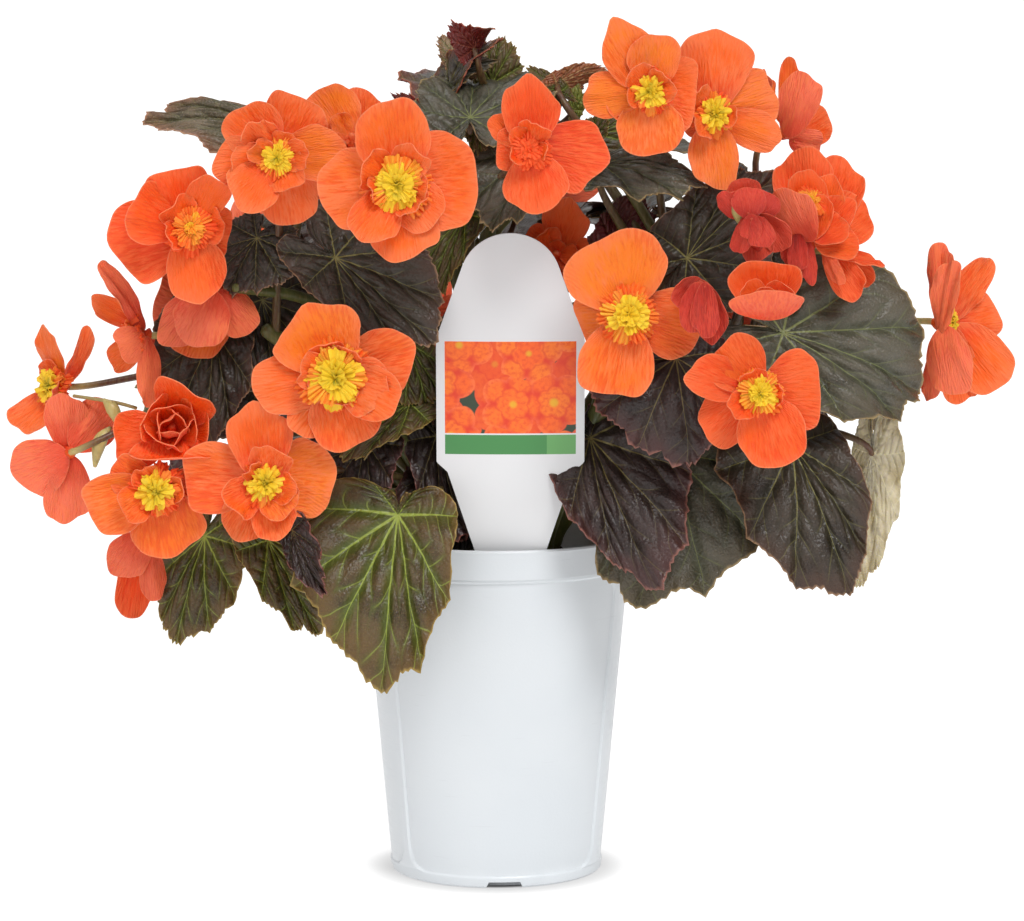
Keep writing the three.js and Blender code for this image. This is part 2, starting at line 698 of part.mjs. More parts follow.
// A broad heart: the blade's edge at an angle from the midrib, as a share of its length, with a
// short point at the tip and a notch at the foot. tooth lengthens or shortens it there.
function leafEdge(angle, tooth) {
  const notch = 1 - 0.8 * Math.exp(-(((Math.PI - Math.abs(angle)) / 0.3) ** 2));
  const tip = 0.1 * Math.exp(-((angle / 0.25) ** 2));
  return ((0.72 + 0.22 * Math.cos(angle)) * notch + tip) * (1 + tooth);
}

// A leaf's frame from its foot and tip: the ways along, across and out of its upper side, with
// how uneven, arched and wavy it is.
function leafFrame(foot, tip, width, facing, stem, lean, seed) {
  const length = tip.distanceTo(foot);
  const along = tip.clone().sub(foot).normalize();
  const normal = squareTo(vector(facing), along);
  return {
    stem,
    foot,
    along,
    normal,
    across: new THREE.Vector3().crossVectors(normal, along),
    length,
    breadth: width / length / LEAF.breadth,
    lean: lean ?? (pick(seed, 0, 1) < 0.5 ? -0.2 : 0.2),
    arch: pick(seed + 1, 0.05, 0.12),
    wave: pick(seed + 2, 0.02, 0.045),
    phase: pick(seed + 3, 0, 6),
  };
}

// A point of the blade: share runs from the foot at 0 to the edge at 1. The blade arches between
// foot and tip, its sides hang a little, and its edge waves.
function leafPoint(leaf, angle, share, tooth) {
  const reach = leafEdge(angle, tooth) * share;
  const u = reach * Math.cos(angle);
  const v = reach * Math.sin(angle) * leaf.breadth * (1 + leaf.lean * Math.sign(angle));
  const arch = leaf.arch * (4 * u * (1 - u) - 0.5 * Math.abs(v));
  const rise = arch + leaf.wave * share * share * Math.sin(5 * angle + leaf.phase);
  return leaf.foot
    .clone()
    .addScaledVector(leaf.along, u * leaf.length)
    .addScaledVector(leaf.across, v * leaf.length)
    .addScaledVector(leaf.normal, rise * leaf.length);
}

function leafSolid(leaf, grow) {
  const swell = grow / leaf.length;
  const ring = (count, share, toothOut, toothIn) =>
    listOf(count, (i) => {
      const angle = (FULL_TURN * (i + 0.5)) / count - Math.PI;
      return leafPoint(leaf, angle, share, swell * share + (i % 2 ? -toothIn : toothOut));
    });
  const waist = ring(LEAF.waistPoints, 0.5, 0, 0);
  const edge = ring(LEAF.edgePoints, 1, LEAF.toothOut, LEAF.toothIn);
  return blade([[leafPoint(leaf, 0, 0, 0)], waist, edge], leaf.normal, LEAF.thickness + 2 * grow);
}

// ------------------------------------------------------------------ blooms

// A petal's frame from its root and tip, with its inner side looking along facing, and how
// cupped, bowed back and wavy it is.
function petalFrame(root, tip, width, facing, seed) {
  const length = tip.distanceTo(root);
  const along = tip.clone().sub(root).normalize();
  const normal = squareTo(facing, along);
  return {
    root,
    along,
    normal,
    across: new THREE.Vector3().crossVectors(normal, along),
    length,
    width,
    cup: pick(seed, 0.1, 0.2),
    bow: pick(seed + 1, 0.06, 0.1),
    wave: pick(seed + 2, 0.01, 0.025),
    phase: pick(seed + 3, 0, 6),
  };
}

// A point of a petal, for x and y over a unit disc with the root at y = -1: an egg-shaped outline,
// broad at the tip, with its sides cupped, its middle bowed back and its edge waved.
function petalPoint(petal, x, y) {
  const t = (y + 1) / 2;
  const v = (petal.width / 2) * x * (0.86 + 0.2 * y);
  const wave = petal.wave * (x * x + y * y) * Math.sin(3 * Math.atan2(x, y) + petal.phase);
  const rise = (petal.cup * v * v) / petal.width + petal.length * (wave - 4 * petal.bow * t * (1 - t));
  return petal.root
    .clone()
    .addScaledVector(petal.along, petal.length * t)
    .addScaledVector(petal.across, v)
    .addScaledVector(petal.normal, rise);
}

function petalSolid(petal, corners, grow) {
  const wider = 1 + (2 * grow) / petal.width;
  const longer = 1 + grow / petal.length;
  const edge = listOf(corners, (i) => {
    const angle = (FULL_TURN * (i + (corners % 2) / 2)) / corners;
    return petalPoint(petal, wider * Math.sin(angle), longer * Math.cos(angle));
  });
  return blade([[petalPoint(petal, 0, 0.1)], edge], petal.normal, PETAL_THICKNESS + 2 * grow);
}

// A bloom's frame from its row: its base, where the stalk ends, is a receptacle's length behind
// its centre.
function bloomFrame(row, seed) {
  const facing = row.facing.clone().normalize();
  const spin = squareTo(new THREE.Vector3(0, 0, 1), facing);
  return {
    ...row,
    seed,
    facing,
    spin,
    side: new THREE.Vector3().crossVectors(facing, spin),
    base: row.centre.clone().addScaledVector(facing, -RECEPTACLE.length),
  };
}

// A point of the bloom at an angle round its facing, out from its axis and forward of its base.
function bloomPoint(bloom, angle, out, forward) {
  return bloom.base
    .clone()
    .addScaledVector(bloom.facing, forward)
    .addScaledVector(bloom.spin, out * Math.cos(angle))
    .addScaledVector(bloom.side, out * Math.sin(angle));
}

// The receptacle: a spindle from the stalk to the middle of the bloom.
function receptacleSolid(bloom) {
  const { length, waist, radius, sides } = RECEPTACLE;
  const ring = listOf(sides, (i) => bloomPoint(bloom, (FULL_TURN * i) / sides, radius, waist));
  return closedStack([[bloom.base], ring, [bloomPoint(bloom, 0, 0, length)]]);
}

// A petal of its own and the claw that holds it: a slim spindle from the stalk's end to its blade.
function clawedPetal(bloom, petal, grow) {
  const { radius, sides, reach } = CLAW;
  const end = petalPoint(petal, 0, reach);
  const along = end.clone().sub(bloom.base).normalize();
  const side = squareTo(new THREE.Vector3(0.3, -0.4, 0.87), along);
  const other = new THREE.Vector3().crossVectors(along, side);
  const middle = bloom.base.clone().lerp(end, 0.5);
  const ring = listOf(sides, (i) => {
    const angle = (FULL_TURN * i) / sides;
    const out = (radius + grow) * Math.cos(angle);
    return middle.clone().addScaledVector(side, out).addScaledVector(other, (radius + grow) * Math.sin(angle));
  });
  return petalSolid(petal, CLAW.corners, grow).add(closedStack([[bloom.base], ring, [end]]));
}

// The outer petals. Neighbours sit at different levels, so that they lap without crossing: high
// and low by turns, and the last of an odd number between the two.
function outerPetals(bloom, grow) {
  const [, , middle] = PETAL_LEVELS;
  return bloom.petals.map(({ tip, width }, i) => {
    const last = i === bloom.petals.length - 1 && i % 2 === 0;
    const level = last ? middle : PETAL_LEVELS[i % 2];
    const outward = squareTo(tip.clone().sub(bloom.base), bloom.facing);
    const root = bloom.base.clone().addScaledVector(bloom.facing, level).add(outward);
    const end = tip.clone().addScaledVector(bloom.facing, PETAL_SPREAD * (level - middle));
    const petal = petalFrame(root, end, width, bloom.facing, bloom.seed * 50 + i * 11 + 5);
    return petalSolid(petal, bloom.corners, grow);
  });
}

// The petals of a bloom that isn't seen from the front, each from its own root to its tip.
function turnedPetals(bloom, grow) {
  return bloom.turned.map(({ root, tip, width, facing, cup }, i) => {
    const petal = petalFrame(root, tip, width, facing, bloom.seed * 50 + i * 11 + 5);
    return clawedPetal(bloom, { ...petal, cup }, grow);
  });
}

// The petals of a bud: wrapped round the line from its foot to its tip, bulging and a little apart.
function budPetals(bloom, grow) {
  const { foot, tip, width, opening } = bloom.bud;
  const along = tip.clone().sub(foot).normalize();
  const side = squareTo(new THREE.Vector3(0, -1, 0.1), along);
  const other = new THREE.Vector3().crossVectors(along, side);
  return listOf(BUD.petals, (k) => {
    const angle = FULL_TURN * k * 0.4 + 0.5;
    const out = side.clone().multiplyScalar(Math.cos(angle)).addScaledVector(other, Math.sin(angle));
    const end = tip
      .clone()
      .addScaledVector(out, width * BUD.spread * opening)
      .addScaledVector(along, -width * BUD.step * k * opening);
    const root = foot.clone().addScaledVector(out, 0.8);
    const petal = petalFrame(root, end, width, out.negate(), bloom.seed * 50 + k * 11 + 5);
    const bow = (BUD.bulge * width) / petal.length;
    return clawedPetal(bloom, { ...petal, cup: BUD.cup, bow }, grow);
  });
}

// The inner petals: a cup that is cut into lobes, with a notch on either side of each.
function cupSolid(bloom, grow) {
  const out = bloom.radius * CUP.reach;
  const point = (place, share, seed) => {
    const reach = share * out * pick(bloom.seed * 40 + seed, 0.9, 1.1);
    const rise = (CUP.rise * reach * reach) / out;
    return bloomPoint(bloom, (FULL_TURN * place) / bloom.inner, reach + grow, RECEPTACLE.length + rise);
  };
  const edge = listOf(bloom.inner, (lobe) =>
    CUP.lobe.map(([share, place], i) => point(lobe + place, share, lobe * 5 + i)),
  );
  const waist = listOf(bloom.inner, (lobe) => point(lobe, CUP.waist, lobe + 30));
  return blade([[point(0, 0, 0)], waist, edge.flat()], bloom.facing, PETAL_THICKNESS + 2 * grow);
}

// A bloom that looks sideways or away has its stamens joined to its petals, in one solid.
const stamensJoined = (bloom) => bloom.stamens > 0 && bloom.facing.y > SIDEWAYS;
const stamensLoose = (bloom) => bloom.stamens > 0 && !stamensJoined(bloom);

// A tuft of stamens in the middle of the bloom: a dome on a point, with ridges round it where it
// is a solid of its own.
function stamenSolid(bloom, grow) {
  const joined = stamensJoined(bloom);
  const foot = RECEPTACLE.length + (joined ? 0 : PETAL_THICKNESS / 2 + GAP - grow);
  const point = (angle, out, forward) => bloomPoint(bloom, angle, out, foot + bloom.stamens * forward + grow);
  const ring = (count, share, forward, furrow) =>
    listOf(count, (i) => {
      const reach = bloom.stamens * share * (i % 2 ? 1 - furrow : 1) + grow;
      return point((FULL_TURN * i) / count, reach, forward);
    });
  const { ridges, brim, crown, crownReach, top } = STAMENS;
  const ridged = [ring(2 * ridges, 1, brim, 0.3), ring(ridges, crownReach, crown, 0)];
  const rings = joined ? [ring(ridges, 1, brim, 0)] : ridged;
  return closedStack([[bloomPoint(bloom, 0, 0, foot)], ...rings, [point(0, 0, top)]]);
}

function bloomSolid(bloom, grow) {
  const parts = [receptacleSolid(bloom), ...outerPetals(bloom, grow), ...turnedPetals(bloom, grow)];
  if (bloom.bud) parts.push(...budPetals(bloom, grow));
  if (bloom.inner) parts.push(cupSolid(bloom, grow));
  if (stamensJoined(bloom)) parts.push(stamenSolid(bloom, grow));
  return unionOf(parts);
}

// ------------------------------------------------------------------ stems and stalks

function stemCurve([, foot, bend, tip]) {
  const low = new THREE.Vector3(...foot, SOIL.surface - STEM.depth);
  const collar = new THREE.Vector3(...foot, SOIL.surface + 14).multiply(new THREE.Vector3(1.15, 1.15, 1));
  return new THREE.CatmullRomCurve3([low, collar, vector(bend), vector(tip)]);
}

// A stalk leaves the upper part of its stem, below and behind what it carries, and comes to its
// tip from behind it.
function stalkCurve(stem, tip, behind) {
  const below = tip.clone().add(new THREE.Vector3(-tip.x * 0.3, -tip.y * 0.45, -34));
  const places = stem.getPoints(24).slice(11);
  const start = places.reduce((best, p) => (p.distanceTo(below) < best.distanceTo(below) ? p : best));
  const reach = start.distanceTo(tip);
  const rise = start.clone().lerp(tip, 0.4).add(new THREE.Vector3(0, 0, reach * 0.12));
  const last = tip.clone().addScaledVector(behind, reach * 0.25);
  return new THREE.CubicBezierCurve3(start, rise, last, tip);
}

// The bars of one stem: the stem itself, its leaf stalks and its bloom stalks.
function stemBars(row, grow) {
  const curve = stemCurve(row);
  const stalk = (tip, behind, radius) =>
    bar(stalkCurve(curve, tip, behind.normalize()), radius + grow, STALK.sides, STALK.steps);
  const leafStalks = leavesOf(row).map(({ foot, normal, along }) => {
    const tip = foot.clone().addScaledVector(normal, -0.4);
    return stalk(tip, normal.clone().multiplyScalar(-0.9).addScaledVector(along, -0.4), STALK.leafRadius);
  });
  const bloomStalks = blooms
    .filter(({ stem }) => stem === row[0])
    .map(({ base, facing }) => {
      const tip = base.clone().addScaledVector(facing, -GAP);
      return stalk(tip, facing.clone().negate(), STALK.bloomRadius);
    });
  return unionOf([bar(curve, STEM.radius + grow, STEM.sides, STEM.steps), ...leafStalks, ...bloomStalks]);
}

// ------------------------------------------------------------------ the plant

const frontLeaves = FRONT_LEAVES.map(([foot, tip, width, facing, stem, lean], i) =>
  leafFrame(fromPhoto(foot), fromPhoto(tip), width * pixel(foot[2]), facing, stem, lean, 11 * i + 1),
);
const backLeaves = BACK_LEAVES.map(([foot, tip, width, facing, stem, lean], i) =>
  leafFrame(vector(foot), vector(tip), width, facing, stem, lean, 11 * i + 901),
);
const leaves = [...frontLeaves, ...backLeaves];
const leavesOf = ([name]) => leaves.filter(({ stem }) => stem === name);

function frontBloom(row, i) {
  const depth = row.centre[2];
  const centre = fromPhoto(row.centre);
  const petals = (row.petals ?? []).map(([x, y, behind, width]) => ({
    tip: fromPhoto([x, y, depth + behind]),
    width: width * pixel(depth) * FULLNESS,
  }));
  const ahead = ([x, y, mm]) => fromPhoto([x, y, depth - mm]);
  const turned = (row.turned ?? []).map(([root, tip, width, facing, cup]) => ({
    root: ahead(root),
    tip: ahead(tip),
    width: width * pixel(depth),
    facing: vector(facing),
    cup,
  }));
  const bud = row.bud && {
    ...row.bud,
    foot: ahead([...row.bud.foot, 0]),
    tip: ahead([...row.bud.tip, 0]),
    width: row.bud.width * pixel(depth),
  };
  const radius = petals.reduce((sum, { tip }) => sum + tip.distanceTo(centre), 0) / petals.length;
  const parts = { centre, facing: vector(row.facing), petals, turned, bud, radius, corners: 6 };
  return bloomFrame({ inner: 0, stamens: 0, ...row, ...parts }, i + 1);
}

// A far bloom has five petals round it, each turned, lengthened and lifted a little by its seed.
function farBloom([name, centre, facing, radius, stem], i) {
  const row = { name, stem, radius, turned: [], inner: 3, stamens: 8, corners: 5 };
  const bloom = bloomFrame({ ...row, centre: vector(centre), facing: vector(facing) }, 60 + i);
  const petals = listOf(5, (k) => {
    const seed = bloom.seed * 9 + k;
    const angle = (FULL_TURN * k) / 5 + pick(seed, -0.15, 0.15);
    const reach = radius * pick(seed + 20, 0.88, 1.08);
    const tip = bloomPoint(bloom, angle, reach, 8 + pick(seed + 40, -2, 3));
    return { tip, width: reach * 0.98 * FULLNESS };
  });
  return { ...bloom, petals };
}

const blooms = [...FRONT_BLOOMS.map(frontBloom), ...FAR_BLOOMS.map(farBloom)];

// Where two pieces would meet, the later one in this order gives way, and keeps the gap: label
// and pot, then stalks, stamens, blooms, and leaves last.
const rigid = [labelSolid(GAP), potRoom()];
const barRooms = STEMS.map((row) => stemBars(row, GAP));
const stamenRooms = blooms.filter(stamensLoose).map((bloom) => stamenSolid(bloom, GAP));
const bloomRooms = blooms.map((bloom) => bloomSolid(bloom, GAP));

const root = new THREE.Group();

blooms.forEach((bloom, i) => {
  const earlier = [...rigid, ...barRooms, ...stamenRooms, ...bloomRooms.slice(0, i)];
  const petals = largestPiece(clearOf(bloomSolid(bloom, 0), earlier));
  const colour = bloom.name.startsWith("bud") ? COLOURS.buds : COLOURS.petals;
  root.add(meshOf(bloom.name, petals, colour, 0.55));
  if (!stamensLoose(bloom)) return;
  const stamens = largestPiece(clearOf(stamenSolid(bloom, 0), [...rigid, ...barRooms]));
  root.add(meshOf(`${bloom.name}_stamens`, stamens, COLOURS.stamens, 0.7));
});

const bladeRooms = [];
STEMS.forEach((row, i) => {
  const bars = clearOf(stemBars(row, 0), [rigid[0], ...barRooms.slice(0, i)]);
  const otherBars = barRooms.filter((_, k) => k !== i);
  const earlier = [...rigid, ...otherBars, ...stamenRooms, ...bloomRooms, ...bladeRooms];
  const blades = leavesOf(row).map((leaf) => clearOf(leafSolid(leaf, 0), earlier));
  bladeRooms.push(...leavesOf(row).map((leaf) => leafSolid(leaf, GAP)));
  root.add(meshOf(row[0], largestPiece(unionOf([bars, ...blades])), COLOURS.foliage, 0.6));
});

root.add(meshOf("soil", clearOf(soilSolid(), [rigid[0], ...barRooms]), COLOURS.soil, 0.95));
root.add(meshOf("pot", potSolid(), COLOURS.pot, 0.35));
root.add(meshOf("label", labelSolid(0), COLOURS.label, 0.4));

export default root;
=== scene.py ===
"""A potted begonia in bloom: its fine surfaces and finishes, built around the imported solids.

Every piece is a surface of two parameters, worked out with numpy as whole arrays. The tables are in
millimetres of the model's frame, +Z up, with the showy side towards -Y. Leaves and blooms on that
side are placed by pixels of a 1024 x 921 view of the plant, each with a depth in millimetres.
"""

import json
import math
from types import SimpleNamespace as Named

import bpy
import numpy as np
from bpy.props import FloatProperty, FloatVectorProperty, IntProperty, PointerProperty
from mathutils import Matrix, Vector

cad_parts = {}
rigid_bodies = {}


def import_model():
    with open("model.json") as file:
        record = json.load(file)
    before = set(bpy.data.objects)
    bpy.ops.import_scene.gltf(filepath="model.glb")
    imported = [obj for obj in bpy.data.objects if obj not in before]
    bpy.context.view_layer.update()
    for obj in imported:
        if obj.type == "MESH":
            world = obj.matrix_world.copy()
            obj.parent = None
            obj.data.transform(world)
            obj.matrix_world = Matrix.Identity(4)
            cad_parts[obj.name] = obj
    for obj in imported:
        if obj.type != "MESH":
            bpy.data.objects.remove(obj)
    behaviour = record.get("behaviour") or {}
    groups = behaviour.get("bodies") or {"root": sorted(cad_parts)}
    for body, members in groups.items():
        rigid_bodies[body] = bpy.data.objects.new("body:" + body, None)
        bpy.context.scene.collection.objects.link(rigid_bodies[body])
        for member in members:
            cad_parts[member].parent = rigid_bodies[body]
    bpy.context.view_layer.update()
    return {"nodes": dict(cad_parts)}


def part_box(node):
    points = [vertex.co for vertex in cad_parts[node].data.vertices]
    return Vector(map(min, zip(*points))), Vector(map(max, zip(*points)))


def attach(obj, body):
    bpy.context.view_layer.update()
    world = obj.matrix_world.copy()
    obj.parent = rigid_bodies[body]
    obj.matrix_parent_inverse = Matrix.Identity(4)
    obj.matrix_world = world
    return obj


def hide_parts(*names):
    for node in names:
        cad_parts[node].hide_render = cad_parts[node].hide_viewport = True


bl_info = {
    "name": "Potted begonia",
    "version": (1, 0, 0),
    "blender": (4, 5, 0),
    "location": "3D View > Sidebar > Begonia",
    "description": "Builds a begonia in bloom in a white nursery pot with a plain plant label",
    "category": "Add Mesh",
}

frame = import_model()
POT_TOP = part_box("pot")[1].z * 1000
RIM_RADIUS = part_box("pot")[1].x * 1000

MM = 0.001
TURN = 2 * math.pi

# -------- sizes, mm

GAP = 0.3  # between pieces that sit on each other

# The pot: radii at its foot, shoulder and collar, then its panels, sunk between upright ribs, with
# their corner radius and soft edge, and the drainage slots, which narrow towards their tops.
POT = Named(
    base=41.9, shoulder=53.3, collar=54.2, collar_height=11.8, wall=1.5, floor=1.8, chamfer=1,
    foot=4.6, foot_step=0.35, recess=0.9, panels=3, first_rib=math.radians(65), rib=2.4, corner=9,
    edge=0.45, brow=1.3, slots=4, first_slot=math.radians(4.7), slot_width=15.2, slot_top=12.4,
    slot_height=2.7, slot_depth=6,
)
SOIL = Named(surface=123, dome=2, crumb=1.5)
BARK = Named(chips=220, spread=47, lift=(0.2, 2.4), length=(1.2, 3.4), breadth=(0.8, 2), height=(0.4, 1))

# The label: heights are above the pot's rim, and its half widths are at the neck, notch and card.
LABEL = Named(
    centre_x=5.8, rim_y=-48.3, lean=math.radians(9), thickness=0.8, half=28.5, top=125.6, dome=19.5,
    dome_start=0.34, shoulder=84.5, foot=34.7, notch=31.1, notch_half=24.3, neck_half=14.1, stake=52,
    bow=0.9, sway=0.6,
)
# Its print: the half width, the heights between which the picture and the bar lie, where the bar
# turns paler, and how many flowers there are to 100 mm and how freely they are scattered.
PRINT = Named(half=25.2, picture=(46.7, 83.2), bar=(38.3, 46.1), pale_from=14, flowers=4.7, scatter=0.75)
CARD_SPAN = 100  # mm of the card to the width of its UV map

# The stems: depth of the foot in the soil, radii, swollen joints, and the share without stalks.
STEM = Named(depth=24, radius=4.2, leaf_stalk=1.75, bloom_stalk=1.35, joints=5, bare=0.46)
LEAF_BREADTH = 1.48  # width of a leaf of breadth 1, as a share of its length

RECEPTACLE = 7.5  # from a bloom's base to its centre
RECEPTACLE_RADII = (1.3, 1.8, 2.4, 2.7, 2.5, 2.0, 1.4)  # from the stalk to the bloom's middle
PETAL_LEVELS = (5, 2, 3.5, 6.2)  # in front of the bloom's base: even, odd, last and sixth petals
PETAL_SPREAD = 2.4  # how much further apart the tips are than those levels
FULLNESS = 1.12  # of an outer petal's width, to make up for its cup
POINT = 0.11  # how far a pointed petal's tip stands out, as a share of its length
CLAW = Named(radius=0.75, into=2)  # the neck of a turned petal, and how far it runs into the blade
HEART_BLADE = 0.25  # through a blade of a heart

# -------- the view that places things

# Width, centre and focal length in pixels, where the eye is in mm, and how far it looks down.
VIEW = Named(
    width=1024, centre_x=512, centre_y=460.5, focal=3930, eye=(6.4, -1560, 355),
    tilt=math.radians(6.942),
)

# -------- what grows, and where

# Main stems: name: (foot x, y on the soil), bend, tip.
STEMS = {
    "stem_front_left": ((-17, -17), (-42, -42, 185), (-88, -52, 222)),
    "stem_left": ((-21, 0), (-62, -8, 180), (-128, -14, 214)),
    "stem_front_middle": ((0, -20), (-6, -34, 205), (-22, -42, 268)),
    "stem_top": ((-4, 3), (-6, 2, 215), (0, -8, 292)),
    "stem_front_right": ((17, -17), (40, -40, 190), (66, -44, 250)),
    "stem_right": ((21, 1), (66, -8, 180), (126, -18, 226)),
    "stem_back_left": ((-13, 18), (-42, 48, 190), (-84, 76, 226)),
    "stem_back_right": ((14, 19), (44, 50, 190), (84, 78, 230)),
}

# Leaves: foot and tip of the blade as (view x, view y, depth y), width in pixels, the way the
# upper side faces, stem, look, and what sets a leaf apart: how uneven its halves are (lean), how
# much its sides turn up (roll) or its tip turns down (droop), and the size of its hind lobes (lobe).
FRONT_LEAVES = [
    ((292, 132, -42), (149, 119, -30), 74, (-0.1, -0.62, 0.78), "stem_left", "tan", {"roll": -0.3}),
    ((257, 238, -62), (230, 292, -66), 84, (-0.3, -0.9, 0.2), "stem_left", "dark"),
    ((335, 258, -72), (430, 342, -76), 122, (0, -0.85, 0.5), "stem_front_left", "dark"),
    ((470, 118, -56), (474, 80, -14), 132, (0, -0.35, 0.93), "stem_top", "grey", {"roll": 0.35}),
    ((545, 150, -62), (490, 228, -78), 108, (-0.2, -0.75, 0.6), "stem_front_middle", "grey"),
    ((602, 166, -58), (702, 188, -68), 74, (0.1, -0.6, 0.8), "stem_front_right", "grey"),
    ((492, 84, -20), (500, 38, -14), 46, (-0.1, -0.95, 0.2), "stem_top", "olive", {"roll": -0.3}),
    ((474, 48, -34), (484, 20, -40), 36, (-0.4, 0.9, 0.2), "stem_top", "young", {"roll": 1.3, "droop": 0.5}),
    ((460, 68, -24), (440, 38, -20), 34, (0.1, -0.9, 0.4), "stem_top", "pleated", {"roll": 0.7}),
    ((556, 84, -46), (606, 70, -40), 30, (0.1, 0.9, 0.4), "stem_front_right", "pleated", {"roll": 0.9}),
    ((560, 92, -48), (530, 70, -42), 30, (-0.2, -0.4, 0.9), "stem_top", "olive", {"roll": 0.4}),
    ((687, 258, -62), (766, 182, -52), 116, (0.1, -0.97, 0.2), "stem_front_right", "dark"),
    ((783, 333, -58), (922, 392, -34), 168, (0.3, -0.92, 0.25), "stem_right", "grey"),
    ((872, 454, -22), (858, 576, -30), 54, (0.2, 0.95, 0.1), "stem_right", "fresh", {"roll": 0.5}),
    ((792, 446, -50), (846, 586, -62), 134, (0.1, -0.95, 0.3), "stem_right", "dark", {"lobe": 0.5}),
    ((676, 358, -66), (688, 456, -74), 150, (0, -0.93, 0.35), "stem_front_right", "purple"),
    ((590, 438, -46), (652, 580, -70), 132, (-0.1, -0.95, 0.25), "stem_front_right", "purple",
     {"lobe": 0.5}),
    ((670, 452, -44), (638, 598, -60), 184, (0.05, -0.95, 0.3), "stem_front_right", "grey", {"lobe": 0.6}),
    ((398, 515, -70), (383, 680, -86), 157, (0, -0.97, 0.25), "stem_front_middle", "olive",
     {"lean": -0.25, "lobe": 0.35}),
    ((268, 540, -52), (318, 634, -60), 84, (0.1, -0.95, 0.2), "stem_front_left", "olive"),
    ((205, 536, -44), (178, 638, -46), 88, (-0.2, -0.95, 0.2), "stem_left", "olive"),
    ((268, 346, 2), (166, 436, 10), 142, (-0.1, -0.95, 0.3), "stem_left", "dark"),
    ((436, 436, -40), (462, 540, -46), 84, (0.1, -0.95, 0.2), "stem_front_middle", "purple"),
    ((410, 404, -50), (346, 456, -62), 70, (0, -0.8, 0.6), "stem_front_left", "olive"),
    ((616, 252, -48), (640, 196, -44), 72, (-0.1, 0.95, 0.2), "stem_front_middle", "purple"),
    ((520, 420, -30), (540, 530, -38), 120, (0, -0.97, 0.2), "stem_front_middle", "dark"),
]

# Smaller leaves on that side, which fill in between the others or stand in the top shoot.
SMALL_LEAVES = [
    ((466, 214, -52), (428, 300, -56), 60, (-0.3, -0.9, 0.3), "stem_front_middle", "olive"),
    ((404, 340, -50), (428, 408, -48), 66, (0.2, -0.9, 0.3), "stem_front_left", "olive"),
    ((446, 470, -36), (408, 548, -46), 92, (0.1, -0.95, 0.3), "stem_front_middle", "purple"),
    ((366, 442, -50), (352, 520, -58), 92, (-0.1, -0.95, 0.3), "stem_front_left", "purple"),
    ((478, 486, -28), (452, 562, -36), 78, (0.2, -0.95, 0.2), "stem_front_middle", "dark"),
    ((214, 330, -50), (206, 440, -56), 100, (0.1, -0.97, 0.2), "stem_left", "dark"),
    ((262, 300, -40), (300, 400, -48), 96, (0.1, -0.95, 0.3), "stem_front_left", "dark"),
    ((596, 136, -30), (668, 120, -26), 70, (0.1, -0.5, 0.85), "stem_front_right", "olive"),
    ((292, 530, -84), (324, 594, -92), 40, (-0.5, -0.8, 0.3), "stem_front_left", "purple",
     {"roll": 1.2, "lobe": 0.4}),
    ((476, 116, -50), (480, 154, -58), 34, (0.1, -0.9, 0.4), "stem_top", "olive", {"roll": -0.5}),
    ((440, 90, -26), (486, 52, -30), 40, (-0.5, -0.7, 0.5), "stem_top", "grey", {"roll": 0.8, "droop": 0.3}),
    ((574, 110, -40), (573, 80, -38), 15, (0.2, -0.9, 0.2), "stem_top", "fresh", {"roll": 0.8}),
    ((590, 142, -44), (606, 114, -42), 26, (0.2, -0.9, 0.3), "stem_front_right", "olive", {"roll": 0.5}),
    ((414, 112, -50), (394, 96, -46), 20, (0.2, 0.9, 0.3), "stem_top", "young"),
    ((450, 98, -30), (480, 34, -36), 46, (-0.9, -0.5, 0.3), "stem_top", "young",
     {"roll": 0.9, "droop": 0.3}),
]

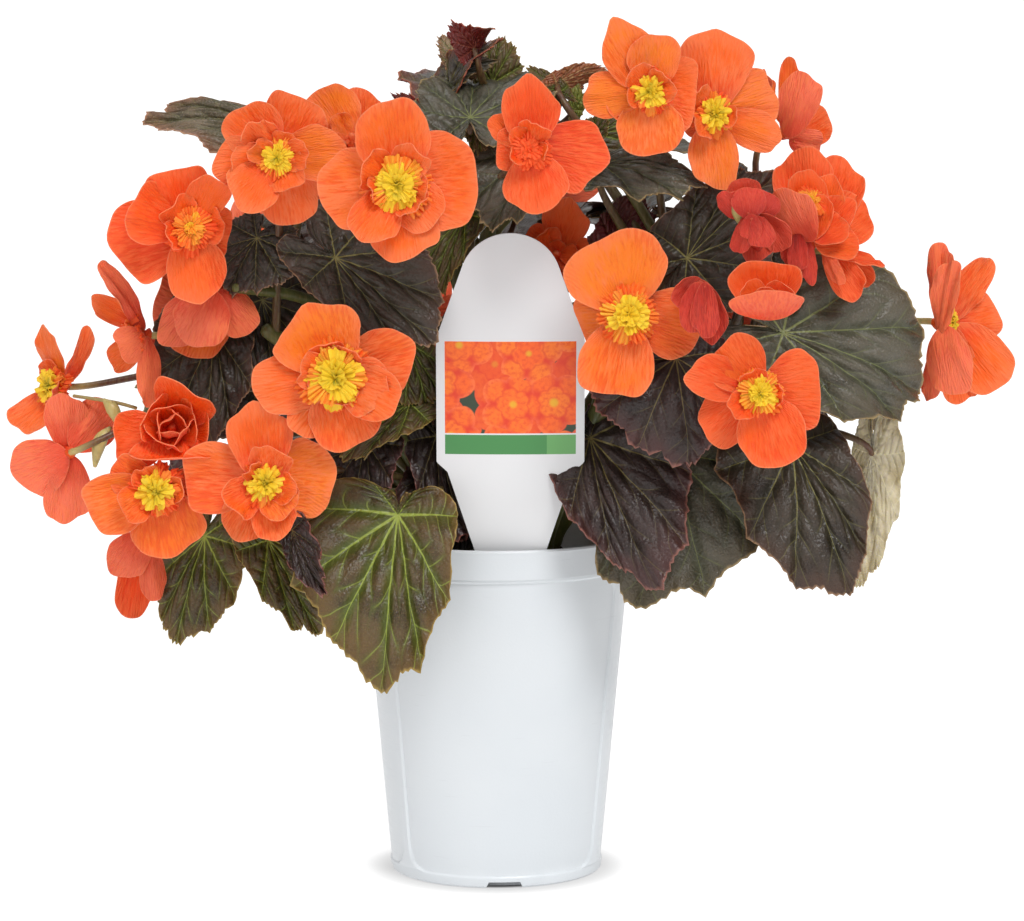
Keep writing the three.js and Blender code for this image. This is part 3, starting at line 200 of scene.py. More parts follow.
# Leaves at the back and sides: foot, tip, width, facing, stem, look, all in mm.
BACK_LEAVES = [
    ((-118, 52, 208), (-134, 98, 168), 54, (-0.9, 0.3, 0.2), "stem_left", "dark"),
    ((-104, 78, 196), (-138, 120, 156), 60, (-0.4, 0.8, 0.4), "stem_back_left", "olive"),
    ((-62, 92, 168), (-84, 128, 112), 58, (-0.3, 0.9, 0.2), "stem_back_left", "dark"),
    ((-14, 84, 176), (-8, 124, 120), 60, (0, 0.95, 0.25), "stem_back_left", "olive"),
    ((44, 90, 170), (56, 130, 116), 62, (0.2, 0.9, 0.3), "stem_back_right", "purple"),
    ((98, 84, 194), (136, 118, 150), 60, (0.5, 0.8, 0.3), "stem_back_right", "dark"),
    ((130, 48, 206), (158, 88, 168), 58, (0.9, 0.3, 0.3), "stem_right", "olive"),
    ((-48, 60, 258), (-66, 112, 240), 62, (-0.2, 0.5, 0.85), "stem_back_left", "grey"),
    ((8, 56, 262), (10, 116, 238), 66, (0, 0.5, 0.86), "stem_back_left", "dark"),
    ((64, 52, 268), (110, 84, 258), 56, (0.2, 0.3, 0.93), "stem_back_right", "grey"),
    ((-38, 12, 284), (-102, 6, 276), 68, (-0.15, 0, 1), "stem_top", "dark"),
    ((34, 20, 288), (98, 12, 280), 68, (0.15, 0, 1), "stem_top", "grey"),
    ((-84, 34, 248), (-142, 50, 244), 60, (-0.2, 0.1, 0.97), "stem_back_left", "dark"),
    ((88, 28, 240), (148, 30, 224), 66, (0.3, 0.1, 0.95), "stem_back_right", "dark"),
    ((-8, 22, 306), (-22, 64, 316), 46, (0, 0.3, 0.95), "stem_top", "young"),
    ((92, -6, 236), (128, -10, 176), 60, (0.95, -0.1, 0.3), "stem_right", "dark"),
    ((96, 30, 214), (124, 34, 152), 62, (0.95, 0.2, 0.2), "stem_right", "olive"),
    ((84, 2, 262), (124, 8, 238), 54, (0.6, 0, 0.8), "stem_right", "grey"),
    ((70, 60, 186), (92, 84, 134), 58, (0.8, 0.5, 0.2), "stem_back_right", "dark"),
    ((44, -2, 232), (78, 14, 178), 58, (0.9, 0.1, 0.4), "stem_top", "purple"),
    ((-94, -4, 230), (-130, -8, 170), 60, (-0.95, -0.1, 0.3), "stem_left", "dark"),
    ((-96, 32, 208), (-126, 36, 148), 62, (-0.95, 0.2, 0.2), "stem_left", "purple"),
    ((-84, 6, 262), (-124, 12, 240), 54, (-0.6, 0, 0.8), "stem_left", "grey"),
    ((-72, 62, 180), (-94, 86, 128), 58, (-0.8, 0.5, 0.2), "stem_back_left", "olive"),
    ((-44, 2, 230), (-78, 16, 176), 58, (-0.9, 0.1, 0.4), "stem_top", "dark"),
]

# Blooms on the showy side: stem, centre as (view x, view y, depth y), facing, number of inner petals
# and how far they reach as a share of the bloom's radius, kind and radius in mm of the heart, and
# outer petals as (tip view x, tip view y, mm behind the centre, width in pixels).
BLOOMS = {
    "bloom_01": (
        "stem_left", (190, 228, -86), (0.2, -0.96, 0.1), (3, 0.5), ("frill", 8),
        [(168, 169, 2, 70), (233, 234, 4, 56), (200, 299, 4, 62), (113, 248, 0, 84), (128, 206, -6, 62),
         (216, 180, -2, 42)],
    ),
    "bloom_02": (
        "stem_front_left", (277, 157, -92), (-0.05, -1, -0.05), (7, 0.62), ("crest", 6.5),
        [(236, 110, 2, 62), (304, 97, 4, 66), (344, 150, 6, 58), (292, 226, 10, 66), (216, 166, 3, 54),
         (240, 202, -2, 56)],
    ),
    "bloom_03": (
        "stem_front_middle", (397, 185, -108), (0, -1, 0.05), (5, 0.56), ("crest", 9.6),
        [(390, 102, 2, 78), (476, 178, 0, 104), (408, 260, 4, 70), (320, 192, 2, 84), (436, 222, 3, 56),
         (362, 238, -3, 52)],
    ),
    "bloom_04": (
        "stem_top", (352, 136, -66), (-0.1, -0.8, 0.55), (3, 0.5), ("none", 0),
        [(322, 93, 6, 54), (360, 84, 8, 52), (386, 132, 2, 44), (318, 150, -4, 44)],
    ),
    "bloom_05": (
        "stem_front_middle", (530, 150, -104), (-0.12, -1, 0), (4, 0.5), ("folded", 6),
        [(530, 82, 2, 60), (602, 160, 5, 74), (540, 210, 3, 68), (494, 150, 0, 44), (492, 116, 4, 32)],
    ),
    "bloom_06": (
        "stem_front_right", (650, 92, -84), (0.05, -1, 0.05), (4, 0.6), ("star", 6.6),
        [(616, 28, 3, 56), (699, 96, 2, 78), (650, 155, 2, 70), (618, 124, -2, 52), (582, 97, 4, 46),
         (656, 35, 7, 54)],
    ),
    "bloom_07": (
        "stem_right", (714, 114, -70), (0.3, -0.94, 0.05), (3, 0.5), ("star", 6.8),
        [(717, 30, 4, 78), (781, 92, 8, 62), (716, 188, 0, 54), (684, 124, 4, 40), (782, 139, 6, 40)],
    ),
    "bloom_16": (
        "stem_front_middle", (556, 254, -46), (-0.1, -0.95, 0.25), (4, 0.5), ("none", 0),
        [(570, 204, 2, 48), (524, 232, 2, 38), (592, 262, 0, 46), (540, 300, 2, 48)],
    ),
    "bloom_17": (
        "stem_front_right", (628, 315, -86), (0.05, -1, 0.05), (0, 0), ("crest", 8.4),
        [(608, 236, 0, 108), (701, 330, 3, 72), (608, 397, 2, 78), (577, 322, 8, 60)],
    ),
    "bloom_18": (
        "stem_right", (759, 393, -96), (0, -1, 0), (3, 0.5), ("crest", 7),
        [(722, 342, 4, 62), (823, 392, 2, 84), (782, 464, 3, 72), (706, 438, 4, 58), (690, 370, -2, 48)],
    ),
    "bloom_20": (
        "stem_front_left", (335, 377, -98), (0.05, -1, 0.05), (6, 0.62), ("crest", 11),
        [(308, 312, 2, 92), (414, 352, 4, 68), (352, 447, 6, 76), (298, 434, -2, 52), (254, 388, 4, 66),
         (396, 404, -2, 58)],
    ),
    "bloom_21": (
        "stem_front_left", (265, 483, -96), (0.08, -1, 0), (5, 0.58), ("star", 7),
        [(256, 407, 3, 66), (334, 478, 2, 84), (278, 538, 3, 46), (238, 540, 1, 56), (181, 476, 3, 74)],
    ),
    "bloom_22": (
        "stem_left", (156, 490, -90), (-0.05, -1, -0.1), (3, 0.55), ("star", 7.6),
        [(88, 512, 3, 64), (172, 558, 3, 78), (112, 466, 5, 44), (206, 500, 8, 54)],
    ),
    "bloom_23": (
        "stem_left", (172, 428, -80), (0.05, -0.88, 0.3), (0, 0), ("rose", 13),
        [(186, 390, -8, 68), (208, 424, -8, 62), (170, 462, -12, 84), (113, 440, -4, 62)],
    ),
    "bloom_26": (
        "stem_left", (52, 386, -30), (-0.75, -0.6, 0.1), (2, 0.45), ("star", 7),
        [(49, 333, 2, 44), (80, 332, 8, 34), (22, 428, 0, 56), (60, 438, 6, 44)],
    ),
    "bloom_27": (
        "stem_left", (68, 452, -44), (-0.25, 0.85, -0.1), (2, 0.4), ("none", 0),
        [(64, 394, -10, 44), (15, 476, 4, 60), (68, 522, 0, 50), (108, 404, 8, 50)],
    ),
}

# Blooms that are seen from the side or from behind, or hang: stem, centre, facing, kind and radius
# of the heart, with its place if it is off the centre, and petals as (root, tip, width in pixels,
# facing, cup), where a place, root or tip is (view x, view y, mm ahead of the centre).
TURNED_BLOOMS = {
    "bloom_08": (
        "stem_right", (796, 124, -34), (0.82, 0.1, 0.3), ("none", 0),
        [((788, 138, 3), (808, 72, 6), 46, (0.25, 0.95, 0.1), 0.35),
         ((788, 134, -6), (792, 57, -9), 28, (0.2, -0.95, 0), 0.5),
         ((786, 132, -2), (768, 71, 4), 18, (0.9, -0.3, 0.1), 0.9),
         ((790, 140, -8), (825, 112, -9), 56, (0, -0.95, 0.2), 0.2),
         ((789, 140, 3), (822, 146, 2), 36, (-0.1, 0.9, 0.3), 0.3)],
    ),
    "bloom_09": (
        "stem_right", (812, 238, -62), (0.25, -0.75, 0.6), ("frill", 5.5, (810, 203, 3)),
        [((812, 242, 0), (800, 147, -10), 68, (0, -0.95, 0.1), 0.3),
         ((814, 240, -2), (846, 158, -14), 66, (-0.3, -0.9, 0), 0.3),
         ((815, 241, 0), (865, 202, -8), 68, (-0.3, -0.9, 0.1), 0.3),
         ((814, 243, 3), (860, 243, 2), 42, (-0.1, -0.8, 0.5), 0.4),
         ((812, 240, 2), (806, 168, 0), 44, (0.2, -0.95, 0), 0.45),
         ((813, 239, 3), (833, 176, -2), 42, (-0.2, -0.95, 0), 0.45),
         ((813, 239, 4), (849, 198, 1), 44, (-0.3, -0.9, 0), 0.4),
         ((813, 240, 6), (846, 220, 5), 38, (-0.3, -0.9, 0.2), 0.4),
         ((812, 240, 6), (824, 196, 5), 32, (-0.2, -0.95, 0), 0.6),
         ((811, 242, 6), (784, 188, 15), 50, (0.45, 0.85, 0.1), 0.4)],
    ),
    "bloom_10": (
        "stem_right", (844, 268, -58), (0.6, -0.45, -0.5), ("none", 0),
        [((824, 248, 0), (883, 263, 4), 24, (0.2, -0.5, 0.85), 0.4),
         ((825, 250, 3), (860, 298, 7), 38, (-0.3, -0.85, 0.2), 0.5),
         ((824, 249, -3), (872, 284, -2), 34, (-0.3, -0.9, 0), 0.35),
         ((826, 252, 7), (842, 284, 10), 20, (0.4, 0.8, 0.2), 0.5)],
    ),
    "bloom_14": (
        "stem_right", (766, 294, -98), (0.02, -0.9, -0.3), ("none", 0),
        [((766, 314, -5), (764, 260, 0), 82, (0, -0.9, -0.3), 0.42),
         ((764, 310, -2), (746, 284, 2), 34, (0.2, -0.9, 0), 0.5),
         ((768, 310, -2), (786, 284, 2), 34, (-0.2, -0.9, 0), 0.5),
         ((766, 312, 1), (766, 288, 4), 34, (0, -0.9, 0), 0.6),
         ((767, 320, 6), (767, 291, 14), 84, (0, 0.8, 0.5), 0.3)],
    ),
    "bloom_19": (
        "stem_right", (950, 322, -14), (0.9, -0.4, 0), ("star", 5),
        [((944, 320, -5), (942, 244, -8), 36, (0.5, 0.85, 0), 0.3),
         ((950, 322, -9), (990, 258, -14), 40, (0.3, -0.9, 0), 0.4),
         ((952, 324, -10), (998, 312, -18), 62, (0.2, -0.95, 0.1), 0.25),
         ((952, 326, -5), (1000, 388, -6), 74, (0.1, -0.95, 0), 0.25),
         ((950, 326, -2), (966, 404, -6), 48, (0.3, -0.95, 0), 0.3),
         ((940, 334, 5), (953, 259, 11), 32, (0.5, 0.85, 0), 0.4),
         ((944, 326, 6), (956, 394, 10), 56, (0.4, 0.9, 0), 0.35),
         ((942, 334, -8), (930, 402, -10), 24, (0.5, 0.85, 0), 0.4)],
    ),
    "bloom_24": (
        "stem_left", (214, 304, -62), (-0.2, -0.35, -0.9), ("none", 0),
        [((216, 292, -4), (186, 356, -4), 70, (0.1, -0.9, 0.2), 0.3),
         ((212, 290, 0), (164, 342, 2), 52, (0.3, 0.9, 0.1), 0.35),
         ((214, 290, 5), (192, 344, 9), 66, (0.1, 0.95, 0.1), 0.35),
         ((220, 290, 1), (248, 334, 3), 50, (-0.2, 0.95, 0), 0.35)],
    ),
    "bloom_25": (
        "stem_left", (132, 336, -58), (-0.95, -0.25, 0), ("frill", 6),
        [((144, 330, -2), (100, 262, 2), 26, (-0.6, 0.75, 0), 0.4),
         ((140, 326, -6), (92, 300, -8), 30, (-0.3, -0.9, 0.1), 0.4),
         ((144, 334, 4), (118, 352, 10), 44, (-0.4, 0.9, 0), 0.3),
         ((142, 338, -6), (110, 366, -8), 36, (-0.3, -0.9, 0), 0.4),
         ((147, 336, 2), (148, 405, 4), 30, (-0.5, 0.85, 0), 0.35),
         ((146, 336, -4), (168, 354, -6), 24, (-0.3, 0.9, 0.2), 0.3)],
    ),
    "bloom_28": (
        "stem_left", (142, 548, -50), (-0.35, 0.5, -0.7), ("none", 0),
        [((144, 534, 2), (116, 574, 4), 50, (0.2, 0.95, 0.1), 0.35),
         ((144, 538, -3), (130, 618, -4), 46, (0.1, -0.95, 0), 0.4),
         ((147, 540, 0), (155, 600, 2), 32, (-0.3, 0.9, 0), 0.4)],
    ),
}

# Buds that are opening, in the form of the blooms above.
BUDS = {
    "bud_11": (
        "stem_right", (748, 204, -84), (0.05, -0.9, 0.35), ("none", 0),
        [((746, 216, -6), (742, 179, -7), 44, (0.1, -0.95, 0), 0.5),
         ((744, 218, 0), (722, 192, 1), 32, (0.5, 0.8, 0), 0.5),
         ((752, 218, -1), (775, 195, 0), 38, (-0.5, 0.8, 0), 0.5),
         ((748, 219, 4), (750, 188, 5), 40, (0, 0.95, 0.2), 0.55)],
    ),
    "bud_12": (
        "stem_right", (762, 246, -86), (0.1, -0.85, 0.45), ("none", 0),
        [((754, 214, -5), (758, 262, -4), 40, (0, -0.95, 0.1), 0.6),
         ((750, 214, 1), (738, 254, 2), 28, (0.6, 0.75, 0), 0.5),
         ((760, 214, -2), (787, 250, -3), 34, (-0.4, -0.85, 0), 0.4),
         ((756, 216, 4), (766, 248, 6), 30, (-0.2, 0.95, 0), 0.6),
         ((752, 214, 4), (750, 240, 6), 26, (0.3, 0.95, 0), 0.5)],
    ),
    "bud_13": (
        "stem_right", (802, 256, -66), (0.15, -0.9, -0.3), ("none", 0),
        [((796, 232, -3), (789, 266, -3), 26, (0.2, -0.95, 0), 0.4),
         ((800, 232, 0), (810, 284, 1), 25, (-0.3, 0.9, 0), 0.5),
         ((798, 232, 3), (798, 272, 5), 23, (0.2, 0.95, 0), 0.5)],
    ),
    "bud_15": (
        "stem_front_right", (700, 308, -92), (0.05, -0.95, 0.2), ("none", 0),
        [((700, 278, -5), (680, 308, -5), 40, (0.3, -0.95, 0), 0.5),
         ((700, 280, -2), (716, 342, -2), 40, (-0.3, -0.9, 0), 0.5),
         ((698, 282, 2), (690, 332, 3), 32, (0.3, 0.9, 0), 0.5),
         ((704, 282, 3), (706, 338, 4), 32, (-0.2, 0.95, 0), 0.55)],
    ),
}

# Blooms on the far side: centre in mm, facing, petal length in mm, stem.
FAR_BLOOMS = {
    "bloom_29": ((-120, 54, 220), (-0.75, 0.6, 0.25), 28, "stem_left"),
    "bloom_30": ((-104, 100, 234), (-0.5, 0.85, 0.1), 31, "stem_back_left"),
    "bloom_31": ((-60, 106, 270), (-0.25, 0.8, 0.5), 30, "stem_back_left"),
    "bloom_32": ((-36, 128, 206), (-0.1, 1, 0.05), 31, "stem_back_left"),
    "bloom_33": ((14, 112, 272), (0.05, 0.85, 0.5), 30, "stem_back_right"),
    "bloom_34": ((104, 106, 212), (0.4, 0.88, 0.2), 31, "stem_back_right"),
    "bloom_35": ((126, 56, 216), (0.8, 0.5, 0.3), 28, "stem_right"),
}

# Shoots and pods that show between the blooms: start, middle and end as (view x, view y, depth y),
# radius at the ends and in the middle in mm, and tone of the stalk's colours.
SHOOTS = {
    "stem_left": [
        ((352, 322, -24), (300, 294, -50), (236, 288, -66), (2.0, 2.3), 0.0),
        ((104, 400, -54), (113, 408, -56), (121, 428, -54), (0.8, 2.6), 1.5),
        ((110, 428, -52), (99, 440, -54), (95, 466, -52), (0.8, 2.8), 1.5),
        ((136, 408, -54), (116, 402, -54), (74, 396, -44), (0.7, 0.7), 1.3),
    ],
    "stem_right": [((742, 226, -78), (738, 212, -86), (734, 196, -84), (0.8, 2.4), 1.4)],
}

# Outer petals that end in a point, by their places in the bloom's row.
POINTED = {
    "bloom_01": (2,), "bloom_05": (0, 1), "bloom_06": (0,), "bloom_16": (0,), "bloom_20": (0,),
    "bloom_21": (0,), "bloom_26": (0, 1),
}

# Blooms of a redder orange.
VIVID_BLOOMS = [f"bloom_{number}" for number in ("01", "05", "09", "10", "14", "16", "18", "23", "28")]

# The order in which blooms and buds take their seeds: by number. Those of the far side follow.
BLOOM_ORDER = sorted([*BLOOMS, *TURNED_BLOOMS, *BUDS], key=lambda name: name.split("_")[1])
FAR_SEED = 60
BACK_LEAF_SEED = 901

# -------- small maths


def pick(seed, low, high):
    """A repeatable draw between low and high for a seed, or for an array of seeds."""
    s = np.sin(np.asarray(seed, float) * 12.9898 + 4.1414) * 43758.5453
    return low + (high - low) * (s - np.floor(s))


def vector(*xyz):
    return np.array(xyz, float)


def unit(v):
    """A vector, or each of a grid of them, at length 1."""
    return v / np.maximum(np.linalg.norm(v, axis=-1, keepdims=True), 1e-9)


def square_to(v, axis):
    """The part of v square to a unit vector, at length 1."""
    return unit(v - axis * np.dot(v, axis))


def smooth(low, high, x):
    """0 below low, 1 above high, and a smooth rise between."""
    t = np.clip((x - low) / (high - low), 0, 1)
    return t * t * (3 - 2 * t)


def from_view(x, y, depth):
    """The point on the upright plane y = depth that the view shows at pixel (x, y)."""
    c, s = math.cos(VIEW.tilt), math.sin(VIEW.tilt)
    up = (VIEW.centre_y - y) / VIEW.focal
    ray = vector((x - VIEW.centre_x) / VIEW.focal, c + s * up, c * up - s)
    return vector(*VIEW.eye) + ray * (depth - VIEW.eye[1]) / ray[1]


def pixel(depth):
    """Millimetres to a pixel of the view, at a depth."""
    return (depth - VIEW.eye[1]) / VIEW.focal


def bezier(a, b, c, d, steps):
    """Points of a cubic Bezier curve."""
    t = np.linspace(0, 1, steps)[:, None]
    return (1 - t) ** 3 * a + 3 * (1 - t) ** 2 * t * b + 3 * (1 - t) * t * t * c + t**3 * d


def grid_of(rows, columns):
    """Two arrays, rows x columns, of each grid point's row value and column value."""
    return np.meshgrid(rows, columns, indexing="ij")


# -------- meshes


class Skin:
    """Collects grids of points, in mm, and makes them one mesh.

    On each grid the row direction times the column direction points outwards. A grid's marks are
    two numbers a point, kept as the attributes "side" and "tone".
    """

    def __init__(self):
        self.points = []
        self.marks = []
        self.faces = {3: [], 4: []}
        self.places = {3: [], 4: []}
        self.count = 0

    def _keep(self, points, side, tone):
        """Adds points and gives their numbers, as a grid."""
        shape = points.shape[:-1]
        self.points.append(points.reshape(-1, 3))
        marks = [np.broadcast_to(side, shape), np.broadcast_to(tone, shape)]
        self.marks.append(np.stack(marks, -1).reshape(-1, 2))
        numbers = self.count + np.arange(np.prod(shape)).reshape(shape)
        self.count += numbers.size
        return numbers

    def _join(self, numbers, uv):
        """Faces between a grid's rows and columns: quads, and triangles where a row is one point."""
        corners = [numbers[:-1, :-1], numbers[1:, :-1], numbers[1:, 1:], numbers[:-1, 1:]]
        places = [uv[:-1, :-1], uv[1:, :-1], uv[1:, 1:], uv[:-1, 1:]]
        corners = np.stack(corners, -1).reshape(-1, 4)
        places = np.stack(places, -2).reshape(-1, 4, 2)
        first = corners[:, 0] == corners[:, 3]
        last = corners[:, 1] == corners[:, 2]
        kinds = (~first & ~last, [0, 1, 2, 3]), (first, [0, 1, 2]), (last & ~first, [0, 1, 3])
        for chosen, order in kinds:
            self.faces[len(order)].append(corners[chosen][:, order])
            self.places[len(order)].append(places[chosen][:, order])

    def sheet(self, middle, thickness, uv, tone, wrap=False):
        """A closed thin solid half the thickness either side of a grid of points.

        With wrap the grid is a disc: its first row is one point, and its columns go round.
        """
        normal = self.normals(middle, wrap)
        half = np.broadcast_to(thickness, middle.shape[:-1])[..., None] / 2
        front = self._keep(middle + normal * half, 1, tone)
        back = self._keep(middle - normal * half, 0, tone)
        if wrap:
            front, back = (np.column_stack([n, n[:, 0]]) for n in (front, back))
            front[0], back[0] = front[0, 0], back[0, 0]
            loop = np.s_[-1, :]
            edges = [front[loop]], [back[loop]], [uv[loop]]
        else:
            sides = [np.s_[:, 0], np.s_[-1, :], np.s_[::-1, -1], np.s_[0, ::-1]]
            edges = [[array[side] for side in sides] for array in (front, back, uv)]
        self._join(front, uv)
        self._join(back[:, ::-1], uv[:, ::-1])
        for near, far, place in zip(*edges):
            self._join(np.stack([far, near]), np.stack([place, place]))

    @staticmethod
    def normals(middle, wrap):
        """Unit normals: row direction times column direction, with a neighbour's at a pinched point."""
        if wrap:
            across = np.roll(middle, -1, 1) - np.roll(middle, 1, 1)
        else:
            across = np.gradient(middle, axis=1)
        normal = unit(np.cross(np.gradient(middle, axis=0), across))
        if wrap:
            normal[0] = unit(normal[1].mean(0))
        else:
            ends = (0, 1), (-1, -2)
            for row, next_row in ends:
                for column, next_column in ends:
                    normal[row, column] = normal[next_row, next_column]
        return normal

    def shell(self, grid, tone=0.0):
        """A closed form whose columns go round and whose first and last rows are one point each."""
        numbers = self._keep(grid, 1, tone)
        numbers = np.column_stack([numbers, numbers[:, 0]])
        numbers[0], numbers[-1] = numbers[0, 0], numbers[-1, 0]
        rows, columns = numbers.shape
        uv = np.stack(grid_of(np.linspace(0, 1, rows), np.linspace(0, 1, columns)), -1)
        self._join(numbers, uv)

    def tube(self, path, radius, sides=10, tone=0.0):
        """A circle of a radius, or of one for each point, carried along a path, with rounded ends.

        Two smaller rings past each end round it.
        """
        radius, tone = (np.broadcast_to(value, len(path)).astype(float) for value in (radius, tone))
        along = unit(np.gradient(path, axis=0))
        bend = np.cross(path[len(path) // 2] - path[0], path[-1] - path[0])
        if np.linalg.norm(bend) < 1e-3:
            bend = np.cross(along[0], vector(0.3, 0.5, 0.8))
        out = unit(np.cross(unit(bend), along))
        side = np.cross(along, out)
        rings = len(path)
        place = np.array([0, 0, *range(rings), rings - 1, rings - 1])
        past = np.array([-0.8, -0.5, *np.zeros(rings), 0.5, 0.8])
        share = np.array([0.02, 0.75, *np.ones(rings), 0.75, 0.02])
        centre = path[place] + along[place] * (radius[place] * past)[:, None]
        turn = -np.arange(sides) * TURN / sides
        ring = out[place][:, None] * np.cos(turn)[:, None] + side[place][:, None] * np.sin(turn)[:, None]
        size = radius[place] * share
        self.shell(centre[:, None] + ring * size[:, None, None], tone[place][:, None])

    def build(self, name, finish, slot, replaced=(), smooth_edge=50):
        """Makes the mesh, in metres, and gives its object a finish and a body.

        An edge that bends by more than smooth_edge degrees stays sharp. The slot is not used.
        """
        mesh = bpy.data.meshes.new(name)
        mesh.vertices.add(self.count)
        mesh.vertices.foreach_set("co", (np.concatenate(self.points) * MM).ravel())
        corners = [np.concatenate(self.faces[k]) for k in (3, 4) if self.faces[k]]
        places = [np.concatenate(self.places[k]) for k in (3, 4) if self.faces[k]]
        sizes = np.concatenate([np.full(len(c), c.shape[1]) for c in corners])
        mesh.loops.add(int(sizes.sum()))
        mesh.loops.foreach_set("vertex_index", np.concatenate([c.ravel() for c in corners]))
        mesh.polygons.add(len(sizes))
        mesh.polygons.foreach_set("loop_start", np.concatenate([[0], np.cumsum(sizes)[:-1]]))
        layer = mesh.uv_layers.new(name="UVMap")
        layer.data.foreach_set("uv", np.concatenate([p.ravel() for p in places]))
        marks = np.concatenate(self.marks)
        for column, mark in enumerate(("side", "tone")):
            values = mesh.attributes.new(mark, "FLOAT", "POINT").data
            values.foreach_set("value", marks[:, column].copy())
        mesh.update(calc_edges=True)
        mesh.polygons.foreach_set("use_smooth", np.ones(len(sizes), bool))
        mesh.set_sharp_from_angle(angle=math.radians(smooth_edge))
        mesh.validate()
        mesh.materials.append(finish)
        piece = bpy.data.objects.new(name, mesh)
        bpy.context.scene.collection.objects.link(piece)
        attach(piece, "root")
        if replaced:
            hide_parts(*replaced)
        return piece


# -------- finishes


class Value:
    """A value on a node's socket. Arithmetic on it adds Math nodes."""

    def __init__(self, finish, socket):
        self.finish = finish
        self.socket = socket

    def math(self, operation, *others):
        """A Math node with this value first and the others after it."""
        operands = dict(enumerate((self, *others)))
        return self.finish.node("ShaderNodeMath", {"operation": operation}, operands)

    def turned(self, operation, other):
        """A Math node with this value second."""
        return self.finish.node("ShaderNodeMath", {"operation": operation}, {0: other, 1: self})

    def __add__(self, other):
        return self.math("ADD", other)

    def __radd__(self, other):
        return self.turned("ADD", other)

    def __sub__(self, other):
        return self.math("SUBTRACT", other)

    def __rsub__(self, other):
        return self.turned("SUBTRACT", other)

    def __mul__(self, other):
        return self.math("MULTIPLY", other)

    def __rmul__(self, other):
        return self.turned("MULTIPLY", other)

    def __truediv__(self, other):
        return self.math("DIVIDE", other)

    def __rtruediv__(self, other):
        return self.turned("DIVIDE", other)

    def __pow__(self, other):
        return self.math("POWER", other)

    def __abs__(self):
        return self.math("ABSOLUTE")

    def __gt__(self, other):
        return self.math("GREATER_THAN", other)

    def __lt__(self, other):
        return self.math("LESS_THAN", other)


class Finish:
    """A material while it is being made."""

    def __init__(self, name):
        self.material = bpy.data.materials.new(name)
        self.material.use_nodes = True
        self.tree = self.material.node_tree
        self.tree.nodes.clear()

    def node(self, kind, settings=None, inputs=None, output=0):
        """Adds a node: its settings first, then its inputs' values or links. Gives one output."""
        node = self.tree.nodes.new(kind)
        for name, setting in (settings or {}).items():
            if name == "stops":
                self._stops(node.color_ramp, setting)
            else:
                setattr(node, name, setting)
        for key, given in (inputs or {}).items():
            socket = node.inputs[key]
            if isinstance(given, Value):
                self.tree.links.new(given.socket, socket)
            elif socket.type == "RGBA" and len(given) == 3:
                socket.default_value = (*given, 1)
            else:
                socket.default_value = given
        return Value(self, node.outputs[output]) if node.outputs else None

    @staticmethod
    def _stops(ramp, stops):
        """Gives a colour ramp its stops, each a place and a colour."""
        while len(ramp.elements) < len(stops):
            ramp.elements.new(0.5)
        for element, (place, colour) in zip(ramp.elements, stops):
            element.position = place
            element.color = (*colour, 1)

    def ramp(self, value, stops):
        return self.node("ShaderNodeValToRGB", {"stops": stops}, {"Fac": value})

    def mix(self, factor, a, b, blend="MIX"):
        """A colour from a to b, or b laid on a."""
        settings = {"data_type": "RGBA", "blend_type": blend}
        return self.node("ShaderNodeMix", settings, {0: factor, 6: a, 7: b}, output=2)

    def rise(self, value, low, high, start=0.0, end=1.0):
        """A smooth rise from start to end, as value goes from low to high."""
        inputs = {"Value": value, "From Min": low, "From Max": high, "To Min": start, "To Max": end}
        return self.node("ShaderNodeMapRange", {"interpolation_type": "SMOOTHSTEP"}, inputs)

    def mark(self, name):
        """An attribute's number."""
        return self.node("ShaderNodeAttribute", {"attribute_name": name}, output="Fac")

    def flat(self, vector):
        """The first two numbers of a vector."""
        return [self.node("ShaderNodeSeparateXYZ", inputs={0: vector}, output=i) for i in (0, 1)]

    def uv(self):
        """The two numbers of the piece's UV map."""
        return self.flat(self.node("ShaderNodeUVMap", {"uv_map": "UVMap"}))

    def place(self):
        """A point's place on the piece, in metres."""
        return self.node("ShaderNodeTexCoord", output="Object")

    def noise(self, scale, detail=3.0, vector=None, **inputs):
        inputs = {"Vector": vector or self.place(), "Scale": scale, "Detail": detail, **inputs}
        return self.node("ShaderNodeTexNoise", inputs=inputs)

    def cells(self, scale, feature="F1", vector=None, **inputs):
        inputs = {"Vector": vector or self.place(), "Scale": scale, **inputs}
        return self.node("ShaderNodeTexVoronoi", {"feature": feature}, inputs)

    def bump(self, height, depth, strength=1.0):
        """A normal from a height of 0 to 1, which stands for a depth in metres."""
        inputs = {"Height": height, "Distance": depth, "Strength": strength}
        return self.node("ShaderNodeBump", inputs=inputs)

    def close(self, **inputs):
        """Ends the material in a Principled shader with these inputs."""
        inputs = {name.replace("_", " "): value for name, value in inputs.items()}
        shader = self.node("ShaderNodeBsdfPrincipled", inputs=inputs)
        self.node("ShaderNodeOutputMaterial", inputs={"Surface": shader})
        return self.material


